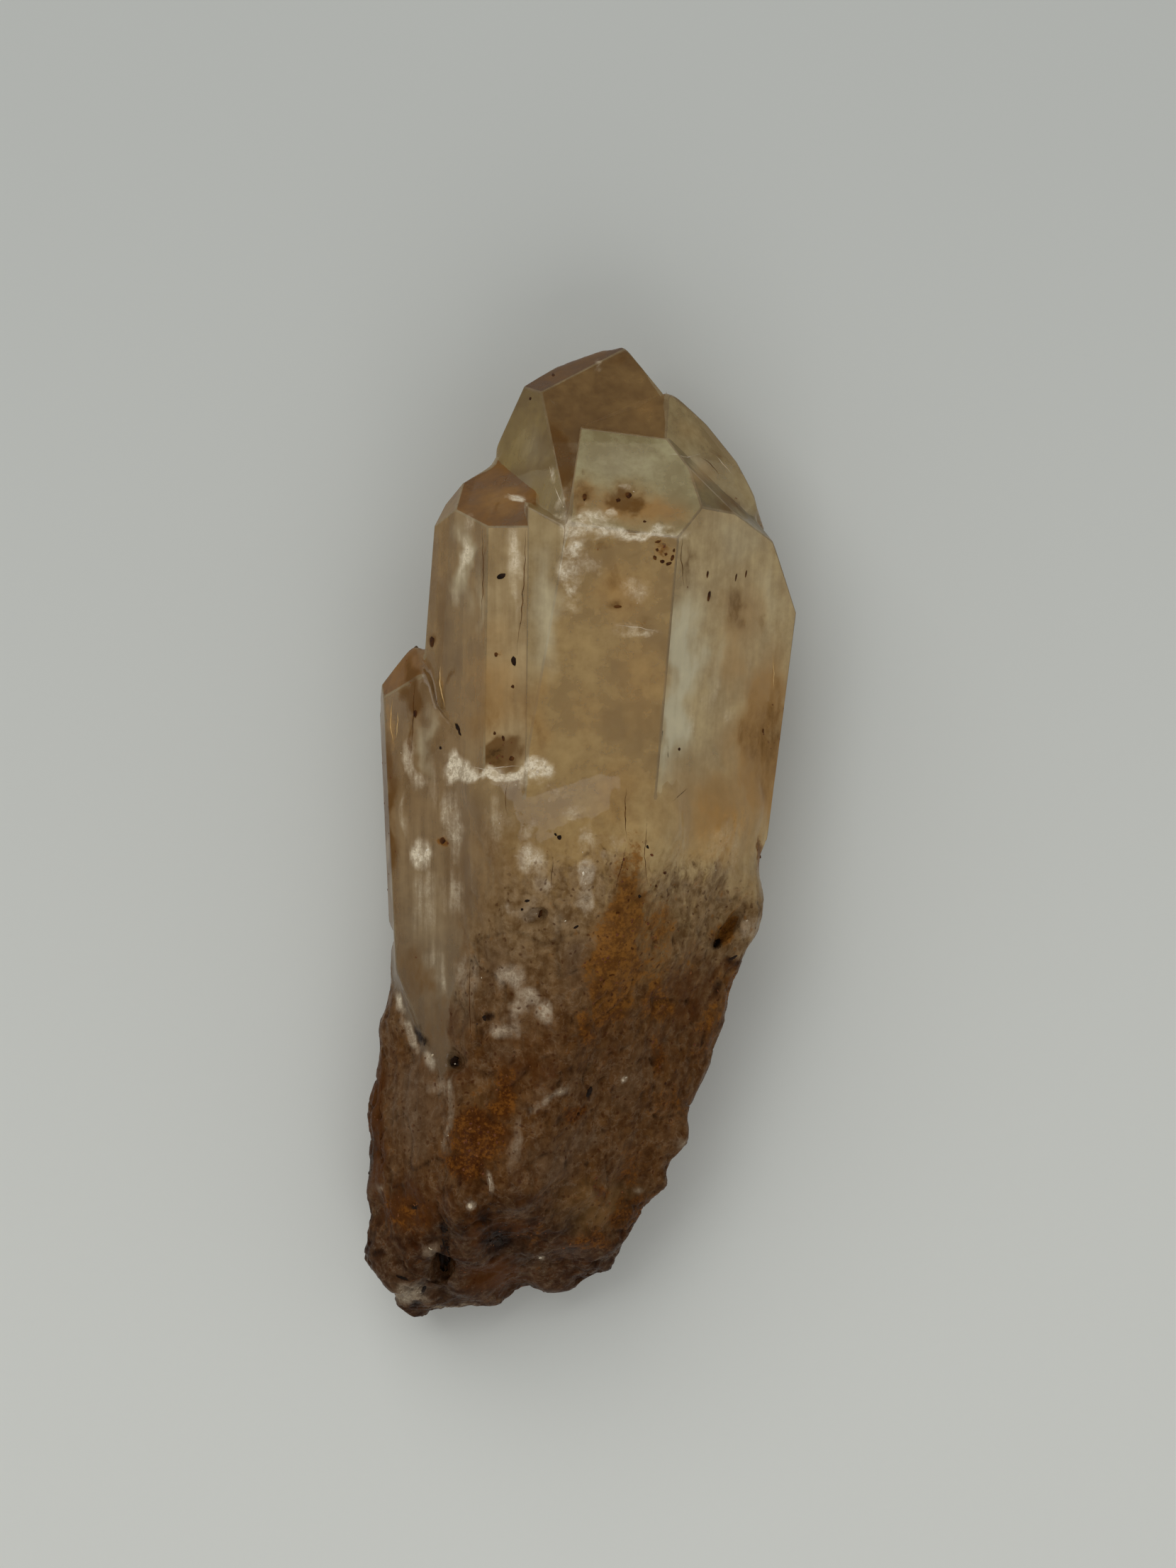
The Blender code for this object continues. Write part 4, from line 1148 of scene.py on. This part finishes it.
def grain_scatter():
    """A tree that strews flattened grains on or under a painted surface."""
    tree = bpy.data.node_groups.new("grain_scatter", "GeometryNodeTree")
    for name, kind in GRAIN_INPUTS.items():
        tree.interface.new_socket(name=name, in_out="INPUT", socket_type=kind)
    tree.interface.new_socket(name="Grains", in_out="OUTPUT", socket_type="NodeSocketGeometry")
    maker = Maker(tree)
    add = maker.node
    first = add("NodeGroupInput")
    given = {name: first.other(name) for name in GRAIN_INPUTS}
    weight = add("GeometryNodeInputNamedAttribute", {"data_type": "FLOAT"}, {"Name": given["Mark"]})
    density = given["Per square mm"] * weight * weight * (1.0 / (MM * MM))
    points = add("GeometryNodeDistributePointsOnFaces", None, {
        "Mesh": given["Surface"], "Density": density, "Seed": given["Seed"],
    })

    def drawn(values, seed_step):
        """A random number for each point, from 0 to 1 or between the values."""
        values = {**values, "Seed": given["Seed"] + seed_step}
        return add("FunctionNodeRandomValue", {"data_type": "FLOAT"}, values, output=1)

    chance = drawn({}, 1)
    size = (given["Smallest"] + (given["Largest"] - given["Smallest"]) * chance * chance) * MM
    depth = given["Least depth"] + (given["Most depth"] - given["Least depth"]) * drawn({}, 2)
    down = add("ShaderNodeVectorMath", {"operation": "SCALE"}, {
        0: points.other("Normal"), "Scale": depth * -MM,
    })
    placed = add("GeometryNodeSetPosition", None, {"Geometry": points, "Offset": down})
    turn = add("FunctionNodeRandomValue", {"data_type": "FLOAT_VECTOR"}, {
        0: (-TILT, -TILT, -HALF_TURN), 1: (TILT, TILT, HALF_TURN), "Seed": given["Seed"] + 3,
    })
    turn = add("FunctionNodeEulerToRotation", None, {"Euler": turn})
    turn = add("FunctionNodeRotateRotation", {"rotation_space": "LOCAL"}, {
        "Rotation": points.other("Rotation"), "Rotate By": turn,
    })
    scale = add("ShaderNodeCombineXYZ", None, {
        0: size * drawn({2: 1.0, 3: LONGEST}, 4), 1: size, 2: size * given["Flatness"],
    })
    grain = add("GeometryNodeMeshIcoSphere", None, {"Radius": 1.0, "Subdivisions": 1})
    grains = add("GeometryNodeInstanceOnPoints", None, {
        "Points": placed, "Instance": grain, "Rotation": turn, "Scale": scale,
    })
    real = add("GeometryNodeRealizeInstances", None, {"Geometry": grains})
    finished = add("GeometryNodeSetMaterial", None, {"Geometry": real, "Material": given["Finish"]})
    add("NodeGroupOutput", None, {"Grains": finished})
    return tree


grain_tree = grain_scatter()
print("grain_scatter has", len(grain_tree.nodes), "nodes")


# %% One scatter as a plain mesh
def strew(name, values):
    """Run the tree on the quartz, keep the result as a mesh and join it to the stone."""
    piece = in_scene(name, quartz_mesh)
    modifier = piece.modifiers.new("grains", "NODES")
    modifier.node_group = grain_tree
    for socket in grain_tree.interface.items_tree:
        if socket.in_out == "INPUT" and socket.name in values:
            modifier[socket.identifier] = values[socket.name]
    ready = bpy.context.evaluated_depsgraph_get()
    mesh = bpy.data.meshes.new_from_object(piece.evaluated_get(ready), depsgraph=ready)
    piece.modifiers.clear()
    piece.data = mesh
    inside = point_values(mesh, "co").clip(low_corner, high_corner)
    mesh.vertices.foreach_set("co", inside.ravel())
    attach(piece, "root")
    print(f"{name}: {len(mesh.polygons)} triangles")


def grain_finish(name, shade_a, shade_b, roughness, specular=0.3):
    """A small grain's material: two shades in patches, rough or glossy."""
    speck = Finish(name)
    patches = speck.ease(speck.grain(speck.place_mm(), 2.2), 0.35, 0.65)
    speck.show(speck.principled({
        "Base Color": speck.mix(patches, shade_a, shade_b), "Roughness": roughness,
        "Specular IOR Level": specular,
    }))
    return speck.material


# %% Strew rust, dirt and flakes
rust_finish = grain_finish("rust_grain", (0.10, 0.022, 0.003, 1.0), (0.19, 0.062, 0.009, 1.0), 0.6)
dirt_finish = grain_finish("dirt_grain", (0.012, 0.005, 0.002, 1.0), (0.035, 0.014, 0.005, 1.0), 0.7)
flake_finish = grain_finish("frost_flake", (0.66, 0.56, 0.40, 1.0), (0.42, 0.32, 0.19, 1.0), 0.25, 0.5)
SCATTERS = {
    "rust_grains": ("rust", 3.0, 0.03, 0.13, 0.35, 0.0, 0.03, 11, rust_finish),
    "smoky_grains": ("smoky", 1.2, 0.03, 0.09, 0.35, 0.0, 0.03, 17, rust_finish),
    "dirt_grains": ("dark", 3.0, 0.035, 0.14, 0.35, 0.0, 0.03, 23, dirt_finish),
    "frost_flakes": ("frost", 3.0, 0.025, 0.11, 0.10, -0.01, 0.04, 37, flake_finish),
    "veil_flakes": ("frost", 4.5, 0.04, 0.26, 0.06, 0.15, 2.2, 41, flake_finish),
}
for name, values in SCATTERS.items():
    strew(name, dict(zip(list(GRAIN_INPUTS)[1:], values)))

# %% [markdown]
# ## Specks and hairlines
# Some marks are too small and too sharp for paint: black specks, hairline cracks, and the
# pale lines where a growth edge glints. Each one is a thin closed mesh laid on the stone.
# Rays dropped from above find the surface under every point of it, so a speck hugs the
# face it sits on, also when the camera goes round to the side.

# %% Drop points onto the stone
quartz_tree = BVHTree.FromPolygons(
    [point.co[:] for point in quartz_mesh.vertices],
    [face.vertices[:] for face in quartz_mesh.polygons],
)
BURIED = -0.03
PROUD = 0.035
DEEP = -0.15


def dropped(x, y, lift):
    """The place on top of the stone at x, y, raised by lift; all in millimetres."""
    hit = met_from_above(quartz_tree, x, y)[0]
    if hit is None:
        return None
    return Vector((hit.x, hit.y, min(high_corner[2], hit.z + lift * MM)))


def laid_piece(name, build, rows, material):
    """One mesh for all the marks of a kind, joined to the stone."""
    mesh = bmesh.new()
    for row in rows:
        build(mesh, *row)
    bmesh.ops.recalc_face_normals(mesh, faces=mesh.faces)
    data = bpy.data.meshes.new(name)
    mesh.to_mesh(data)
    mesh.free()
    data.shade_smooth()
    data.materials.append(material)
    piece = in_scene(name, data)
    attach(piece, "root")
    print(f"{name}: {len(rows)} marks, {len(data.polygons)} faces")


# %% One speck: a ragged lens
SPECK_SIDES = 14
SPECK_RAGGED = 0.35
SPECK_WAVE = 1.3
SPECK_DRIFT = 7.0
SPECK_RINGS = ((1.0, BURIED), (0.55, PROUD))


def add_speck(mesh, x, y, length, width, turn):
    """A flat lens with a ragged rim, dropped onto the stone."""
    cosine, sine = math.cos(math.radians(turn)), math.sin(math.radians(turn))
    rings = []
    for share, lift in SPECK_RINGS:
        ring = []
        for step in range(SPECK_SIDES):
            angle = math.tau * step / SPECK_SIDES
            out = Vector((math.cos(angle), math.sin(angle), 0.0))
            lump = noise.noise(out * SPECK_WAVE + Vector((x, y, 0.0)) * SPECK_DRIFT)
            swell = share * (1.0 + SPECK_RAGGED * lump)
            aside, ahead = out.x * swell * width / 2.0, out.y * swell * length / 2.0
            rim_x = x + aside * cosine - ahead * sine
            rim_y = y + aside * sine + ahead * cosine
            ring.append(dropped(rim_x, rim_y, lift))
        rings.append(ring)
    top, bottom = dropped(x, y, PROUD), dropped(x, y, DEEP)
    if None in (*rings[0], *rings[1], top, bottom):
        return
    rim, inner = [[mesh.verts.new(place) for place in ring] for ring in rings]
    top, bottom = mesh.verts.new(top), mesh.verts.new(bottom)
    for here in range(SPECK_SIDES):
        after = (here + 1) % SPECK_SIDES
        mesh.faces.new((rim[here], rim[after], inner[after], inner[here]))
        mesh.faces.new((inner[here], inner[after], top))
        mesh.faces.new((rim[after], rim[here], bottom))


print("a speck has", 3 * SPECK_SIDES, "faces")

# %% One hairline: a thin ridge along a wandering route
LINE_STEP = 0.22
LINE_WANDER = 0.09
LINE_WAVE = 1.7
LINE_DRIFT = 40.0
LINE_ENDS = 0.25
LINE_RAGGED = 0.5
LINE_RAGGED_WAVE = 3.1


def add_hairline(mesh, width, *route):
    """A thin tapering ridge through the route's points, dropped onto the stone."""
    corners = [Vector((x, y, 0.0)) for x, y in route]
    places = []
    for start, end in zip(corners, corners[1:]):
        steps = max(1, round((end - start).length / LINE_STEP))
        places.extend(start.lerp(end, step / steps) for step in range(steps))
    places.append(corners[-1])
    drift = Vector((0.0, 0.0, width * LINE_DRIFT))
    wander = [noise.noise_vector(place * LINE_WAVE + drift) * LINE_WANDER for place in places]
    places = [place + Vector((shift.x, shift.y, 0.0)) for place, shift in zip(places, wander)]
    sections = []
    for number, place in enumerate(places):
        ahead = places[min(number + 1, len(places) - 1)] - places[max(number - 1, 0)]
        across = Vector((-ahead.y, ahead.x, 0.0)).normalized()
        taper = max(LINE_ENDS, math.sin(math.pi * (number + 0.5) / len(places)))
        ragged = 1.0 + LINE_RAGGED * noise.noise(place * LINE_RAGGED_WAVE)
        half = across * width / 2.0 * taper * ragged
        left, right = place + half, place - half
        section = [dropped(left.x, left.y, BURIED), dropped(place.x, place.y, PROUD * taper),
                   dropped(right.x, right.y, BURIED), dropped(place.x, place.y, DEEP)]
        if None not in section:
            sections.append([mesh.verts.new(corner) for corner in section])
    for before, after in zip(sections, sections[1:]):
        for here in range(4):
            other = (here + 1) % 4
            mesh.faces.new((before[here], before[other], after[other], after[here]))
    mesh.faces.new(sections[0])
    mesh.faces.new(sections[-1][::-1])


print("a hairline has a section every", LINE_STEP, "mm")

# %% Where the specks lie: x, y; length, width; turn
BLACK_SPECKS = [
    (-5.45, 17.7, 0.44, 0.80, 30), (-4.58, 11.85, 0.80, 0.42, 8), (-8.47, 7.30, 0.85, 0.30, 28),
    (-8.35, 6.95, 0.5, 0.22, 20), (-9.68, 5.90, 0.26, 0.24, 0), (-1.45, -0.25, 0.42, 0.40, 0),
    (-1.70, -0.05, 0.3, 0.2, 40), (-3.65, -4.60, 0.24, 0.45, 10), (-4.00, -5.20, 0.22, 0.25, 0),
    (-0.30, -6.40, 0.22, 0.50, 30), (-8.75, -15.75, 0.75, 0.60, -20), (0.60, -17.85, 1.05, 0.34, -30),
    (-9.40, -27.3, 1.2, 0.5, -6), (-9.50, -29.4, 2.9, 0.72, -3), (4.06, -4.30, 0.3, 0.25, 0),
    (4.6, -0.90, 0.35, 0.22, 20), (-12.4, -31.0, 0.25, 1.2, -20), (-10.95, -31.9, 0.8, 0.3, -25),
    (9.5, -7.6, 0.7, 0.35, -38), (10.6, -8.7, 0.25, 0.9, 30), (-13.7, -9.6, 0.8, 0.3, 0),
    (-5.7, -28.4, 0.9, 0.7, 0), (-11.5, -26.0, 0.3, 0.5, 0), (-6.6, -12.7, 0.5, 0.35, 0),
]
BROWN_SPECKS = [
    (-5.80, 12.30, 0.42, 0.30, 0), (-4.65, 10.10, 0.30, 0.28, 0), (-5.90, 6.90, 0.30, 0.24, 0),
    (-5.30, 6.55, 0.50, 0.26, 10), (-4.72, 5.15, 0.40, 0.45, 0), (-10.30, 13.30, 1.0, 0.40, 0),
    (-9.55, -0.50, 0.60, 0.50, 20), (-2.75, -5.50, 0.70, 0.28, -20), (5.80, -2.70, 0.30, 0.28, 0),
    (5.20, -3.60, 0.24, 0.22, 0), (5.10, 18.90, 0.42, 0.30, 20), (5.30, 20.00, 0.22, 0.55, 10),
    (6.30, 18.90, 0.55, 0.28, -10), (6.05, 18.50, 0.28, 0.50, 20), (5.60, 18.65, 0.30, 0.40, 0),
    (5.25, 19.45, 0.30, 0.26, 0), (5.85, 19.15, 0.26, 0.26, 0), (6.40, 19.40, 0.30, 0.18, 0),
    (10.75, 17.70, 0.70, 0.14, -12), (11.45, 17.95, 0.70, 0.14, -10), (8.75, 17.85, 0.60, 0.18, -8),
    (8.85, 16.35, 0.90, 0.26, -10), (12.70, 7.10, 0.4, 0.18, 0), (6.80, 5.80, 0.30, 0.22, 0),
    (-11.45, 8.30, 0.7, 0.35, 0), (0.30, 23.10, 0.60, 0.34, 0), (3.30, 23.25, 0.5, 0.55, 0),
    (2.6, 22.9, 0.4, 0.35, 0), (4.4, 21.4, 0.2, 0.3, 0), (-0.10, -19.5, 0.5, 0.4, 0),
    (-0.55, -19.1, 0.3, 0.4, 0), (6.6, -16.5, 0.4, 0.2, 0), (5.9, -17.4, 0.3, 0.2, 0),
    (2.55, 15.55, 0.25, 0.7, 0), (-3.5, 30.2, 0.3, 0.22, 0), (-1.9, 31.9, 0.3, 0.3, 0),
]
# Painted glints: pale specks where the stone catches the light.
GLINT_SPECKS = [
    (-0.30, 19.75, 0.22, 0.30, 0), (0.20, -2.75, 0.42, 0.20, 0), (0.35, -3.40, 0.24, 0.14, 0),
    (-2.95, 4.25, 0.28, 0.34, 0), (-8.68, -15.95, 0.16, 0.16, 0), (2.95, -17.10, 0.22, 0.20, 0),
    (-7.60, -25.70, 0.46, 0.40, 20), (-2.80, -29.70, 0.20, 0.26, 0), (-11.20, -1.50, 0.20, 0.30, 0),
    (-10.60, -1.15, 0.16, 0.34, 30), (-4.4, 23.25, 0.14, 0.6, -10),
]
print(len(BLACK_SPECKS) + len(BROWN_SPECKS) + len(GLINT_SPECKS), "specks")

# %% Where the hairlines run: width, then the route
DARK_HAIRLINES = [
    (0.11, (3.15, 3.1), (3.05, 1.5), (3.15, -0.3)), (0.08, (3.1, -0.9), (2.7, -2.6), (2.3, -4.2)),
    (0.09, (-3.72, 21.2), (-3.85, 18.0), (-4.06, 14.9), (-4.4, 12.2)),
    (0.07, (-1.9, -1.5), (-2.0, -4.0)), (0.08, (7.0, 20.4), (6.9, 18.8), (7.1, 17.0)),
    (0.07, (-6.75, 21.0), (-6.7, 17.5), (-6.8, 14.5)),
    (0.07, (-11.45, 10.8), (-11.6, 8.0), (-11.8, 5.2)),
    (0.08, (-7.6, -8.2), (-7.65, -12.0), (-7.5, -15.6)), (0.06, (-5.0, 3.6), (-5.2, 2.4), (-5.0, 1.3)),
    (0.07, (6.3, 2.2), (6.9, 2.7), (7.3, 3.1)), (0.07, (-13.6, -15.5), (-14.0, -19.0), (-13.9, -23.0)),
    (0.07, (4.6, 1.2), (4.4, -1.6), (4.7, -4.0)),
    (0.08, (-10.7, -30.8), (-11.9, -31.3), (-12.8, -30.9)),
    (0.06, (9.6, 24.9), (9.0, 25.6), (8.3, 26.1)),
]
PALE_HAIRLINES = [
    (0.09, (1.5, 20.75), (4.2, 20.5), (6.6, 20.25)), (0.08, (-1.8, 24.0), (-1.5, 23.2), (-1.15, 22.4)),
    (0.10, (-5.0, 23.5), (-4.4, 23.2), (-3.7, 23.0)), (0.07, (-2.1, 25.3), (-1.95, 24.4)),
    (0.06, (2.3, 14.35), (4.0, 14.15), (5.6, 13.8)), (0.06, (9.4, 26.2), (10.0, 25.5), (10.4, 25.0)),
    (0.08, (-7.6, 4.6), (-6.4, 4.45), (-4.9, 4.6), (-4.0, 4.7)),
    (0.06, (6.0, 26.2), (7.4, 26.0), (8.3, 26.3)), (0.07, (-6.3, -23.5), (-6.2, -24.9)),
]
GOLD_HAIRLINES = [
    (0.14, (-9.7, 11.6), (-9.75, 10.2), (-9.4, 8.7)), (0.10, (-13.1, 9.4), (-13.2, 7.8), (-13.0, 6.2)),
    (0.08, (-12.7, 8.4), (-12.8, 6.6)), (0.08, (13.4, 12.4), (13.5, 10.0)),
]
print(len(DARK_HAIRLINES) + len(PALE_HAIRLINES) + len(GOLD_HAIRLINES), "hairlines")

# %% Lay them
speck_finish = grain_finish("black_speck", (0.006, 0.003, 0.001, 1.0), (0.020, 0.008, 0.003, 1.0), 0.6, 0.1)
brown_finish = grain_finish("brown_speck", (0.035, 0.010, 0.002, 1.0), (0.11, 0.038, 0.006, 1.0), 0.6, 0.1)
pale_finish = grain_finish("pale_speck", (0.85, 0.76, 0.60, 1.0), (0.55, 0.43, 0.28, 1.0), 0.3, 0.4)
gold_finish = grain_finish("gold_line", (0.85, 0.60, 0.28, 1.0), (0.60, 0.36, 0.12, 1.0), 0.3, 0.4)
laid_piece("black_specks", add_speck, BLACK_SPECKS, speck_finish)
laid_piece("brown_specks", add_speck, BROWN_SPECKS, brown_finish)
laid_piece("glint_specks", add_speck, GLINT_SPECKS, pale_finish)
laid_piece("dark_hairlines", add_hairline, DARK_HAIRLINES, brown_finish)
laid_piece("pale_hairlines", add_hairline, PALE_HAIRLINES, pale_finish)
laid_piece("gold_hairlines", add_hairline, GOLD_HAIRLINES, gold_finish)

# %% [markdown]
# ## In place of the solid
# The finished quartz is the solid's own shape with round edges and a fractured base, so it
# replaces the solid's node. All the rest lies on it or in it, in pieces of its own.

# %% Join the quartz to the stone's node
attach(quartz, "root")
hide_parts(NODE)
print("quartz replaces", NODE)
